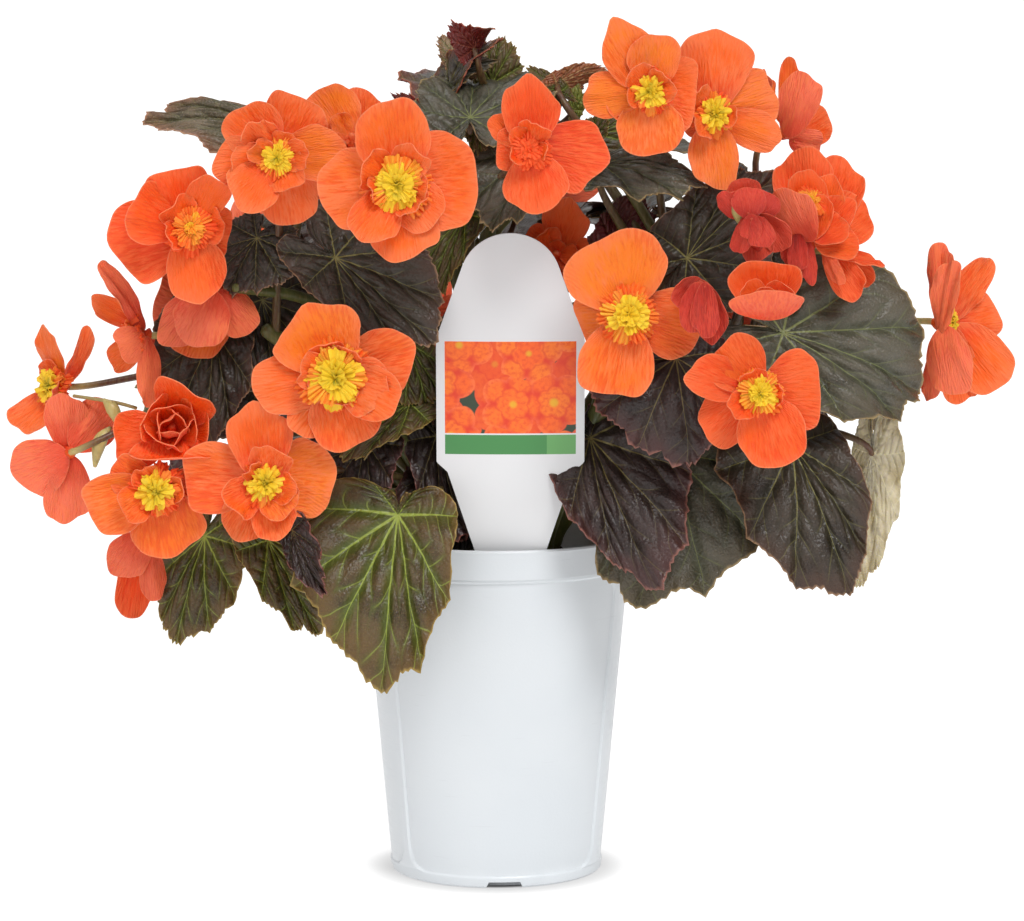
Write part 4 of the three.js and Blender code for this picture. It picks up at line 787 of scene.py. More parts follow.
def petal_finish(name, colours):
    """A petal: deep at its foot, in its own colour and in painted shade, paler at its edge and on its back,
    with a painted highlight along its rim and faint veins that fan out.
    """
    f = Finish(name)
    u, v = f.uv()
    x, y = 2.0 * u - 1.0, 2.0 * v - 1.0
    side, tone = f.mark("side"), f.mark("tone")
    cloud = f.noise(55.0, 4.0)
    patch = f.noise(26.0, 2.0)
    fan = x.math("ARCTAN2", y + 1.5)
    veins = (fan * 150.0 + patch * 40.0).math("SINE") * 0.5 + 0.5
    veins = veins * f.rise(f.noise(160.0, 3.0), 0.38, 0.66)
    place = f.node("ShaderNodeCombineXYZ", inputs={0: x * 3.2, 1: v * 1.1, 2: tone * 9.0})
    streak = f.noise(5.0, 5.0, vector=place)
    reach = (x * x + y * y).math("SQRT")
    # Deeper towards the foot: the petal's own colour, and painted shade where the petals crowd at the
    # bloom's middle.
    front = f.mix(f.rise(v, 0.02, 0.6), colours.deep, colours.petal)
    front = f.mix(f.rise(tone + patch * 0.8, 0.6, 1.3), front, colours.warm)
    front = f.mix(f.rise(reach + patch * 0.8 - 0.4, 0.62, 1.0, 0.0, 0.6), front, colours.pale)
    back = f.mix(f.rise(v + patch * 0.4 - 0.2, 0.0, 0.8), colours.back, colours.back_pale)
    colour = f.mix(side, back, front)
    # A tone below 0 deepens the whole petal: painted shade on the petals inside a bloom, whose tones run
    # lower, and random on turned petals.
    colour = f.mix(f.rise(tone, 0.0, -1.0), colour, colours.deep)
    colour = f.mix(veins * f.rise(v, 0.95, 0.1, 0.08, 0.3), colour, colours.deep)
    colour = f.mix(f.rise(streak + patch - 0.5, 0.5, 0.25, 0.0, 0.42), colour, colours.deep)
    colour = f.mix(f.rise(cloud * 0.5 + streak * 0.5, 0.45, 0.64, 0.0, 0.7), colour, colours.pale)
    # A lighter rim at the very edge: a painted highlight of the light caught along it.
    colour = f.mix(f.rise(reach, 0.955, 1.0, 0.0, 0.4), colour, colours.rim)
    relief = veins * 0.2 + f.noise(600.0, 2.0) * 0.15 + cloud * 0.9 + patch + streak * 1.3
    return f.close(
        Base_Color=colour,
        Roughness=f.rise(cloud, 0.3, 0.7, 0.42, 0.56),
        Specular_IOR_Level=0.3,
        Normal=f.bump(relief, 0.0012, 0.6),
        Subsurface_Weight=0.2,
        Subsurface_Radius=(1.0, 0.25, 0.08),
        Subsurface_Scale=0.0025,
    )


def heart_finish(colours):
    """Stamens and the frill round them: olive inmost, then yellow, then orange, darker at the feet, the
    olive middle and the dark feet being painted shade deep in the tuft.
    """
    f = Finish("stamen_yellow")
    u, v = f.uv()
    tone = f.mark("tone")
    cloud = f.noise(420.0, 3.0)
    colour = f.ramp(
        tone + cloud * 0.24 - 0.12,
        [(0.0, colours.stamen_heart), (0.14, colours.stamen), (0.4, colours.stamen_tip),
         (0.7, colours.frill), (1.0, colours.frill_pale)],
    )
    # Darker feet: painted shade deep among the blades.
    foot = f.mix(f.rise(tone, 0.4, 0.8), colours.stamen_foot, colours.deep)
    colour = f.mix(f.rise(v, 0.55, 0.1, 0.0, 0.75), colour, foot)
    colour = f.mix(f.rise(v, 0.75, 1.0, 0.0, 0.5) * f.rise(tone, 0.5, 0.2), colour, colours.stamen_tip)
    relief = (u * 19.0).math("SINE") * 0.4 + cloud
    return f.close(
        Base_Color=colour,
        Roughness=0.6,
        Specular_IOR_Level=0.25,
        Normal=f.bump(relief, 0.0002, 0.6),
        Subsurface_Weight=0.2,
        Subsurface_Radius=(1.0, 0.7, 0.15),
        Subsurface_Scale=0.001,
    )


def leaf_finish(name, c):
    """A leaf: veins from its foot that branch, a soft glow beside them, grain and a pale edge.

    u counts the veins from side to side and v runs from the foot to the edge. A side vein is a
    line on which v shrinks in step with its distance from the vein that it leaves.
    """
    f = Finish(name)
    u, v = f.uv()
    side, tone = f.mark("side"), f.mark("tone")
    bend = f.noise(30.0, 2.0) - 0.5
    count = (u - 0.5) * (2.0 * VEIN_SPAN) + bend * v * 0.45
    nearest = count.math("ROUND")
    off = count - nearest
    away = abs(off)
    main = away * v
    offset = off.math("SIGN") * 0.26 + (nearest * 2.3).math("SINE") * 0.4 + bend * 1.4
    twig = v * (1.0 - away * 0.95 + away * away * 0.5) * 5.0 + offset
    branch = abs(twig - twig.math("ROUND"))
    width = f.rise(v, 0.0, 0.95, c.vein_width, c.vein_width * 0.3)
    vein = f.rise(main / width, 0.5, 1.3, 1.0, 0.0) * f.rise(v, 0.85, 1.0, 1.0, 0.35)
    twigs = f.rise(branch, 0.012, 0.05, 1.0, 0.0) * f.rise(away, 0.48, 0.25, 0.0, 1.0) * f.rise(v, 0.1, 0.3)
    glow = f.rise(main, 0.0, 0.2, 1.0, 0.0).math("MAXIMUM", f.rise(branch, 0.0, 0.24, 0.55, 0.0))
    net = f.cells(520.0, "DISTANCE_TO_EDGE")
    grain = f.noise(1500.0, 2.0)
    cloud = f.noise(75.0, 4.0)
    blotch = f.noise(24.0, 3.0)
    colour = f.mix(f.rise(cloud * 0.6 + blotch * 0.4 + tone * 0.15, 0.42, 0.64), c.blade, c.patch)
    colour = f.mix(f.rise(grain, 0.45, 0.75, 0.0, 0.5), colour, c.speck)
    colour = f.mix(glow * f.rise(blotch, 0.3, 0.6, 0.6, 1.0) * c.glow_share, colour, c.glow)
    colour = f.mix(f.rise(net, 0.06, 0.0, 0.0, 0.22), colour, c.glow)
    colour = f.mix(f.rise(v + cloud * 0.3, 0.9, 1.2, 0.0, 0.7), colour, c.rim)
    lit = f.rise(v, 0.6, 0.1, c.vein_share, min(1.0, c.vein_share + 0.35))
    colour = f.mix(vein.math("MAXIMUM", twigs * c.twig_share) * lit, colour, c.vein)
    colour = f.mix(f.rise(v, 0.975, 1.0, 0.0, 0.8), colour, c.edge)
    under = f.mix(f.rise(cloud, 0.3, 0.7), c.under, c.under_patch)
    under = f.mix(vein.math("MAXIMUM", twigs * 0.5), under, c.under_vein)
    colour = f.mix(side, under, colour)
    puff = f.rise(main, 0.0, 0.14) + f.rise(branch, 0.0, 0.4, 0.0, 0.7)
    relief = puff * 0.8 + f.rise(net, 0.0, 0.35) * 0.14 + grain * 0.07 + f.noise(120.0, 1.0) * 0.5
    return f.close(
        Base_Color=colour,
        Roughness=f.rise(cloud, 0.3, 0.7, 0.34, 0.52),
        Specular_IOR_Level=0.4,
        Normal=f.bump(relief, 0.0015, 0.7),
        Subsurface_Weight=c.glass,
        Subsurface_Radius=(1.0, 0.8, 0.2),
        Subsurface_Scale=0.002,
    )


def stalk_finish(c):
    """A fleshy stalk: green to red along it, with fine streaks."""
    f = Finish("stalk")
    tone = f.mark("tone")
    cloud = f.noise(90.0, 4.0)
    stretched = f.node("ShaderNodeMapping", {}, {"Vector": f.place(), "Scale": (1.0, 1.0, 0.15)})
    streak = f.noise(900.0, 2.0, vector=stretched)
    colour = f.mix(f.rise(tone + cloud * 0.5, 0.3, 1.1), c.stalk, c.stalk_red)
    colour = f.mix(f.rise(tone, 1.0, 1.5), colour, c.stalk_tip)
    colour = f.mix(f.rise(streak, 0.4, 0.7, 0.0, 0.35), colour, c.stalk_pale)
    return f.close(
        Base_Color=colour,
        Roughness=0.42,
        Normal=f.bump(streak + cloud * 0.5, 0.0004, 0.6),
        Subsurface_Weight=0.25,
        Subsurface_Radius=(1.0, 0.6, 0.2),
        Subsurface_Scale=0.003,
    )


def pot_finish(c):
    """White moulded plastic: a hair of bluish cloud, fine orange peel and a few faint scuffs."""
    f = Finish("white_plastic")
    cloud = f.noise(14.0, 3.0)
    peel = f.noise(900.0, 2.0)
    lines = f.node("ShaderNodeMapping", {}, {"Vector": f.place(), "Scale": (1.0, 1.0, 30.0)})
    scuff = f.noise(60.0, 5.0, vector=lines)
    colour = f.mix(f.rise(cloud, 0.3, 0.7), c.pot, c.pot_shade)
    colour = f.mix(f.rise(scuff, 0.66, 0.76, 0.0, 0.35), colour, c.pot_scuff)
    return f.close(
        Base_Color=colour,
        Roughness=f.rise(scuff, 0.4, 0.75, 0.3, 0.46),
        Normal=f.bump(peel * 0.6 + cloud * 0.6, 0.00012, 0.5),
        Subsurface_Weight=0.1,
        Subsurface_Radius=(1.0, 1.0, 1.0),
        Subsurface_Scale=0.003,
    )


def soil_finish(c):
    """Moist bark and peat: near black crumbs with browner ones."""
    f = Finish("potting_mix")
    crumb = f.cells(260.0)
    grain = f.noise(900.0, 5.0)
    cloud = f.noise(120.0, 4.0)
    colour = f.mix(f.rise(cloud + grain * 0.5, 0.55, 1.0), c.soil, c.soil_bark)
    return f.close(
        Base_Color=colour,
        Roughness=0.95,
        Normal=f.bump(crumb + grain * 0.6, 0.0016, 0.9),
    )


def between(value, low, high):
    """1 where a value lies between two numbers, and 0 elsewhere."""
    return (value > low) * (value < high)


def label_finish(c):
    """A white card. Its print, on the front only, is a plain bar under a field of small flowers.

    Each flower is a circle of five scallops round a cell of a scattered pattern, with five smaller
    ones inside it, and no two are turned alike. A second, dimmer layer shows between the first's.
    """
    f = Finish("label_card")
    u, v = f.uv()
    side = f.mark("side")
    x, y = u * CARD_SPAN, v * CARD_SPAN
    middle = CARD_SPAN / 2
    across = between(x, middle - PRINT.half, middle + PRINT.half)
    picture, bar = (
        between(y, LABEL.stake + low, LABEL.stake + high) * across
        for low, high in (PRINT.picture, PRINT.bar)
    )
    field = f.mix(f.noise(60.0), c.print_dark, c.print_green)
    for shift, dim in ((0.31, 0.55), (0.0, 0.0)):
        spot = f.node("ShaderNodeCombineXYZ", inputs={0: u + shift, 1: v + shift})
        settings = {"feature": "F1", "voronoi_dimensions": "2D"}
        inputs = {"Vector": spot, "Scale": PRINT.flowers, "Randomness": PRINT.scatter}
        distance, centre, shade = (
            f.node("ShaderNodeTexVoronoi", settings, inputs, output=output)
            for output in ("Distance", "Position", "Color")
        )
        dx, dy = f.flat(f.node("ShaderNodeVectorMath", {"operation": "SUBTRACT"}, {0: spot, 1: centre}))
        luck = f.node("ShaderNodeSeparateColor", inputs={0: shade}, output=0)
        petals = (dy.math("ARCTAN2", dx) + luck * 6.0) * 2.5
        scallop = abs(petals.math("SINE")) * 0.16 + 0.46
        part = distance / scallop
        inner = abs((petals + 1.6).math("SINE")) * 0.08 + 0.24
        bloom = f.mix(luck, c.petal, c.warm)
        seam = abs(petals.math("COSINE")) ** 8.0
        bloom = f.mix(seam * f.rise(distance, 0.05, 0.3), bloom, c.deep)
        bloom = f.mix(f.rise(distance / inner, 0.8, 1.0, 1.0, 0.0), bloom, f.mix(luck, c.warm, c.petal))
        bloom = f.mix(f.rise(abs(distance / inner - 1.02), 0.12, 0.02, 0.0, 0.5), bloom, c.deep)
        bloom = f.mix(f.rise(part, 0.8, 1.0, 0.0, 0.5), bloom, c.pale)
        bloom = f.mix(f.rise(f.noise(60.0, 4.0, vector=spot), 0.4, 0.7, 0.0, 0.6), bloom, c.deep)
        bloom = f.mix(f.rise(distance + luck * 0.04, 0.12, 0.05, 0.0, 0.7), bloom, c.stamen)
        bloom = f.mix(dim, bloom, c.deep)
        field = f.mix(f.rise(part, 0.98, 1.03, 1.0, 0.0), field, bloom)
    colour = f.mix(picture * side, c.card, field)
    bar_colour = f.mix(x > middle + PRINT.pale_from, c.bar, c.bar_pale)
    colour = f.mix(bar * side, colour, bar_colour)
    return f.close(
        Base_Color=colour,
        Roughness=0.34,
        Normal=f.bump(f.noise(500.0, 2.0), 0.00005, 0.4),
    )


# -------- petals and blooms


def petal_frame(root, tip, width, facing, seed):
    """A petal's axes from its root and tip, and what sets it apart.

    Its cup is how far its sides rise, its bow how far its middle falls back, its wave and ruffle
    how uneven its edge is, its fold how deep its creases are, and its curl how far its tip turns.
    """
    length = np.linalg.norm(tip - root)
    along = unit(tip - root)
    normal = square_to(unit(vector(*facing)), along)
    return Named(
        root=root, along=along, normal=normal, across=np.cross(normal, along), length=length,
        width=width, cup=pick(seed, 0.1, 0.2), bow=pick(seed + 1, 0.06, 0.1),
        wave=pick(seed + 2, 0.015, 0.035), phase=pick(seed + 3, 0, 6), fold=1.0, ruffle=1.0,
        curl=pick(seed + 4, 0, 0.5), point=0.0, seed=seed,
    )


def petal_surface(petal, rows, columns):
    """The middle surface of a petal and its UV.

    A square of parameters is pressed into a disc. The disc is stretched into an egg, broad at the
    tip, whose edge swells and dents. Its sides rise with the square of their distance and its
    middle bows back. Three creases and fine furrows run up it, its edge waves slowly and ripples
    quickly, and its tip may be pointed or curl back.
    """
    s, t = grid_of(*(np.sin(np.linspace(-1, 1, n) * math.pi / 2) for n in (rows, columns)))
    y, x = s * np.sqrt(1 - t * t / 2), t * np.sqrt(1 - s * s / 2)
    rho, phi = np.hypot(x, y), np.arctan2(x, y)
    reach = (y + 1) / 2
    seed, phase = petal.seed, petal.phase
    swell = sum(
        height * np.sin(waves * phi + pick(seed + 20 + k, 0, 6))
        for k, (height, waves) in enumerate(((0.035, 3), (0.022, 5), (0.008, 9)))
    )
    swell = 1 + swell * rho**3 * smooth(-0.95, -0.5, y)
    v = petal.width / 2 * x * (0.87 + 0.2 * y) * swell
    ripple = sum(
        height * np.sin(waves * phi + start * phase)
        for height, waves, start in ((1, 4, 2), (0.7, 7, 1.7), (0.35, 11, 1))
    )
    ripple = 0.011 * petal.ruffle * rho**4 * ripple * smooth(-1, -0.2, y)
    crease = 0
    for k in (0, 1, 10):
        line = pick(seed + 30 + k, -0.7, 0.7) * (0.3 + 0.7 * reach) + pick(seed + 32 + k, -0.15, 0.15)
        depth = pick(seed + 34 + k, 0.018, 0.046) * (1 if pick(seed + 36 + k, 0, 1) > 0.4 else -1)
        breadth = pick(seed + 38 + k, 0.14, 0.3)
        crease = crease + depth * np.exp(-np.abs((x - line) / breadth) ** 1.5)
    furrow = np.cos((9 + 2 * np.sin(3 * y + seed)) * x * (1.2 - 0.3 * y) + phase)
    furrow = 0.0016 * petal.fold * furrow * (1 - rho**4)
    rise = petal.wave * rho**2 * np.sin(3 * phi + phase) - 4 * petal.bow * reach * (1 - reach)
    rise = rise + ripple + (crease * petal.fold + furrow) * smooth(0, 0.3, reach)
    rise = petal.length * (rise - petal.curl * np.maximum(reach - 0.6, 0) ** 2)
    rise = rise + petal.cup * v * v / petal.width
    tip = petal.point * np.maximum(y, 0) ** 3 * (1 - np.minimum(np.abs(x) * 2.2, 1))
    forward = petal.length * (reach * (1 + (swell - 1) * (y > 0)) + tip)
    points = petal.root + forward[..., None] * petal.along + v[..., None] * petal.across
    return points + rise[..., None] * petal.normal, np.stack([(x + 1) / 2, reach], -1)


def add_petal(skin, petal, sizes, tone, rows=None, columns=None):
    """A petal as a thin solid. Its tone runs from deep, below 0, which stands for painted shade inside a
    bloom, to warm, at 1.
    """
    surface, uv = petal_surface(petal, rows or sizes.petal_rows, columns or sizes.petal_columns)
    skin.sheet(surface, sizes.petal_thickness / MM, uv, tone)


def bloom_frame(name, stem, centre, facing, seed):
    """A bloom's axes. Its base, where the stalk ends, lies behind its centre.

    Its heart grows from its middle, and its turned petals from its hub.
    """
    facing = unit(vector(*facing))
    spin = square_to(vector(0, 0, 1), facing)
    return Named(
        name=name, stem=stem, centre=centre, facing=facing, seed=seed, spin=spin,
        side=np.cross(facing, spin), base=centre - facing * RECEPTACLE, inner=(0, 0),
        heart="none", size=0, petals=[], turned=[], middle=centre - facing, hub=centre,
    )


def bloom_point(bloom, angle, out, forward):
    """A point at an angle round the bloom's facing, out from its axis and forward of its base."""
    turned = bloom.spin * np.cos(angle) + bloom.side * np.sin(angle)
    return bloom.base + bloom.facing * forward + turned * out


def near_bloom(name):
    """A bloom or bud of the showy side, from its row."""
    row = (BLOOMS | TURNED_BLOOMS | BUDS)[name]
    stem, centre, facing = row[:3]
    depth = centre[2]
    bloom = bloom_frame(name, stem, from_view(*centre), facing, BLOOM_ORDER.index(name) + 1)
    if name in BLOOMS:
        bloom.inner, (bloom.heart, bloom.size), petals = row[3:]
        for x, y, behind, width in petals:
            bloom.petals.append((from_view(x, y, depth + behind), width * pixel(depth) * FULLNESS))
        bloom.radius = np.mean([np.linalg.norm(tip - bloom.centre) for tip, _ in bloom.petals])
    else:
        (bloom.heart, bloom.size, *places), bloom.turned = row[3:]
        for x, y, ahead in places:
            bloom.middle = from_view(x, y, depth - ahead)
        roots = [from_view(x, y, depth - ahead) for (x, y, ahead), *_ in bloom.turned]
        bloom.hub = 0.1 * bloom.base + 0.9 * np.mean(roots, 0)
    return bloom


def far_bloom(name, place):
    """A bloom of the far side: five petals, each turned, lengthened and lifted a little."""
    centre, facing, radius, stem = FAR_BLOOMS[name]
    bloom = bloom_frame(name, stem, vector(*centre), facing, FAR_SEED + place)
    bloom.heart, bloom.size = ("crest", "star", "frill")[place % 3], 8
    bloom.inner, bloom.radius = (6, 0.6), radius
    for k in range(5):
        seed = bloom.seed * 9 + k
        angle = TURN * k / 5 + pick(seed, -0.15, 0.15)
        reach = radius * pick(seed + 20, 0.88, 1.08)
        tip = bloom_point(bloom, angle, reach, 8 + pick(seed + 40, -2, 3))
        bloom.petals.append((tip, reach * 0.98 * FULLNESS))
    return bloom


def outer_petals(skin, bloom, sizes):
    """The large petals. Neighbours sit at different levels, so that they lap without crossing."""
    for i, (tip, width) in enumerate(bloom.petals):
        last = i == len(bloom.petals) - 1 and i % 2 == 0
        level = PETAL_LEVELS[2] if last else PETAL_LEVELS[i % 2]
        if i == 5:
            level = PETAL_LEVELS[3]
        outward = square_to(tip - bloom.base, bloom.facing)
        root = bloom.base + bloom.facing * level + outward
        end = tip + bloom.facing * PETAL_SPREAD * (level - PETAL_LEVELS[2])
        petal = petal_frame(root, end, width, bloom.facing, bloom.seed * 50 + i * 11 + 5)
        petal.point = POINT * (i in POINTED.get(bloom.name, ()))
        if bloom.heart == "rose":
            petal.cup, petal.bow = 0.32, 0.22
        add_petal(skin, petal, sizes, pick(petal.seed + 9, 0, 1))


def inner_petals(skin, bloom, sizes):
    """The petals round the middle, smaller and more folded than the outer ones."""
    count, reach = bloom.inner
    for k in range(count):
        seed = bloom.seed * 70 + k * 13
        angle = TURN * (k * 0.618 + 0.1) + pick(seed, -0.25, 0.25)
        out = bloom.radius * reach * pick(seed + 1, 0.62, 1.14)
        lift = RECEPTACLE + 0.3 * out + pick(seed + 2, -1.5, 2.5)
        root = bloom_point(bloom, angle, 1.2, RECEPTACLE - 1.5)
        tip = bloom_point(bloom, angle + pick(seed + 3, -0.2, 0.2), out, lift)
        petal = petal_frame(root, tip, out * pick(seed + 4, 0.95, 1.35), bloom.facing, seed)
        petal.cup, petal.wave = pick(seed + 5, 0.1, 0.45), pick(seed + 6, 0.03, 0.08)
        petal.ruffle, petal.fold, petal.curl = pick(seed + 7, 2.2, 5), 2.6, pick(seed + 8, -0.9, 0.7)
        # Tones reach below 0, lower than the outer petals': painted shade among the middle petals, spread at
        # random.
        add_petal(skin, petal, sizes, pick(seed + 9, -0.3, 0.8), 16, 16)


def rose_heart(skin, bloom, sizes):
    """Petals that wrap round each other, the inner ones shorter and more upright."""
    count = 9
    for k in range(count):
        seed = bloom.seed * 70 + k * 13
        share = (k + 1) / count
        angle = k * 2.4 + 0.7
        root = bloom_point(bloom, angle, 1, RECEPTACLE - 3)
        out = bloom.size * (0.12 + 0.72 * share)
        tip = bloom_point(bloom, angle, out, RECEPTACLE + bloom.size * (0.62 - 0.12 * share))
        inward = bloom.facing * 0.45 - square_to(tip - bloom.base, bloom.facing)
        petal = petal_frame(root, tip, bloom.size * (0.8 + 0.9 * share), inward, seed)
        petal.cup, petal.bow, petal.ruffle, petal.curl = 0.55, 0.14, 2.2, -0.4
        # The inner petals' lower tone keeps them deeper: painted shade deep inside the rose.
        add_petal(skin, petal, sizes, -0.1 + 0.5 * share, 14, 14)


def turned_petals(skin, bloom, sizes):
    """The petals of a bloom that isn't seen from the front, each from its own root to its tip.

    A straight claw joins each to the bloom's hub.
    """
    depth = bloom.centre[1]
    for i, (root, tip, width, facing, cup) in enumerate(bloom.turned):
        root, tip = (from_view(x, y, depth - ahead) for x, y, ahead in (root, tip))
        petal = petal_frame(root, tip, width * pixel(depth), facing, bloom.seed * 50 + i * 11 + 5)
        petal.cup, petal.ruffle, petal.curl = cup, 1.3 if width > 42 else 2.4, 0.2
        claw = root + CLAW.into * petal.along - bloom.hub
        skin.tube(bloom.hub + np.linspace(0, 1, 6)[:, None] * claw, CLAW.radius, 6)
        add_petal(skin, petal, sizes, pick(petal.seed + 9, -0.2, 0.9))


def receptacle(skin, bloom):
    """The swelling from the stalk to the middle of the bloom, or to where its turned petals start."""
    steps = np.linspace(0, 1, len(RECEPTACLE_RADII))[:, None]
    skin.tube(bloom.base + steps * (bloom.hub - bloom.base), RECEPTACLE_RADII, 12)


def heart_blade(bloom, angle, lean, length, spread, teeth, curl, seed):
    """One blade of a heart: a fan from near the axis, which leans out at an angle from the facing.

    Its half angle is the spread. It is furrowed and scalloped once for each tooth, swells up along
    its middle, and its edge is a little uneven and curls back.
    """
    rows, columns = 7, 4 * teeth + 3
    radial = bloom.spin * math.cos(angle) + bloom.side * math.sin(angle)
    along = bloom.facing * math.cos(lean) + radial * math.sin(lean)
    normal = bloom.facing * math.sin(lean) - radial * math.cos(lean)
    across = np.cross(normal, along)
    reach, turn = grid_of(np.linspace(0.08, 1, rows), np.linspace(-1, 1, columns))
    scallop = np.cos(teeth * math.pi * turn)
    jag = pick(seed + np.arange(columns) * 1.3, -0.045, 0.045) * smooth(0.6, 1, reach)
    out = length * reach * (1 + 0.05 * scallop * reach**4 + jag - 0.22 * np.abs(turn) ** 3 * reach)
    turned = turn * spread * (0.75 + 0.25 * reach)
    rise = 0.16 * np.sin(math.pi * reach) - curl * reach**3
    rise = rise + 0.07 * reach * scallop * (1 - 0.3 * turn**2)
    rise = rise + 0.05 * reach**2 * np.sin(5 * turn + seed)
    points = bloom.middle + (out * np.cos(turned))[..., None] * along
    points = points + (out * np.sin(turned))[..., None] * across
    return points + (rise * length)[..., None] * normal, np.stack([(turn + 1) / 2, reach], -1)


# The hearts' ranks of blades: how many, how far they lean out in radians, their length as a share of
# the heart's size, half their spread in radians, their teeth, and their tone from stamen to frill.
HEART_RANKS = {
    "crest": [
        (4, 0.2, 0.62, 0.62, 3, 0.06), (6, 0.5, 0.78, 0.54, 3, 0.16), (9, 0.82, 0.92, 0.46, 3, 0.24),
        (10, 1.08, 1.02, 0.4, 3, 0.36), (12, 1.3, 1.18, 0.36, 4, 0.66), (14, 1.5, 1.32, 0.34, 4, 0.86),
    ],
    "star": [
        (8, 0.2, 0.64, 0.26, 1, -0.06), (12, 0.48, 0.82, 0.26, 1, 0.1), (16, 0.76, 0.96, 0.24, 1, 0.22),
        (18, 1.04, 1.06, 0.23, 1, 0.4), (15, 1.32, 1.22, 0.24, 2, 0.78), (16, 1.52, 1.36, 0.26, 3, 1),
    ],
    "frill": [
        (5, 0.2, 0.62, 0.4, 3, 0.42), (8, 0.5, 0.8, 0.36, 3, 0.58), (11, 0.85, 1, 0.32, 3, 0.74),
        (13, 1.15, 1.14, 0.3, 3, 0.92), (15, 1.4, 1.28, 0.3, 3, 1.05),
    ],
    "folded": [
        (3, 0.15, 0.6, 0.8, 2, 1.1), (5, 0.5, 0.8, 0.6, 2, 1.1), (8, 0.85, 1, 0.46, 3, 1.05),
        (11, 1.2, 1.18, 0.38, 3, 1.1), (14, 1.45, 1.34, 0.3, 3, 1.1),
    ],
}


def heart_skin(bloom):
    """The tuft in a bloom's middle: ranks of small blades, each rank turned against the last."""
    skin = Skin()
    turn = 0
    for count, lean, length, spread, teeth, tone in HEART_RANKS[bloom.heart]:
        for k in range(count):
            turn += 1
            seed = bloom.seed * 90 + turn * 3
            angle = TURN * k / count + turn * 0.37 + pick(seed, -0.25, 0.25)
            reach = bloom.size * length * pick(seed + 2, 0.86, 1.1)
            surface, uv = heart_blade(
                bloom, angle, lean + pick(seed + 1, -0.16, 0.16), reach,
                spread * pick(seed + 3, 0.8, 1.2), teeth, pick(seed + 4, -0.1, 0.45), seed,
            )
            skin.sheet(surface, HEART_BLADE, uv, tone + pick(seed + 5, -0.08, 0.08))
    return skin


# -------- leaves

# A main vein's angle from the midrib in degrees is the first times its number and the second times
# its number's square, and the last vein's number is the one that lies straight back.
VEIN_ANGLES = (24, 2.2)
LEAF_RINGS, LEAF_RAYS = 24, 14  # rings from foot to edge, and rays from one main vein to the next
VEIN_SPAN = (-VEIN_ANGLES[0] + math.sqrt(VEIN_ANGLES[0] ** 2 + 720 * VEIN_ANGLES[1])) / (2 * VEIN_ANGLES[1])


def leaf_frame(foot, tip, width, seed, facing, stem, look, apart=None):
    """A leaf's axes from its foot and tip, how uneven, arched and wavy it is, and what sets it apart."""
    length = np.linalg.norm(tip - foot)
    along = unit(tip - foot)
    normal = square_to(vector(*facing), along)
    wavy, frill = (1.8, 2.2) if look == "purple" else (1, 1)
    leaf = {
        "foot": foot, "along": along, "normal": normal, "across": np.cross(normal, along),
        "length": length, "breadth": width / length / LEAF_BREADTH,
        "lean": -0.2 if pick(seed, 0, 1) < 0.5 else 0.2, "arch": pick(seed + 1, 0.05, 0.12),
        "wave": pick(seed + 2, 0.02, 0.045) * wavy, "phase": pick(seed + 3, 0, 6), "frill": frill,
        "roll": 0.0, "droop": 0.0, "lobe": 1.0, "stem": stem, "look": look, "seed": seed,
    }
    return Named(**(leaf | (apart or {})))


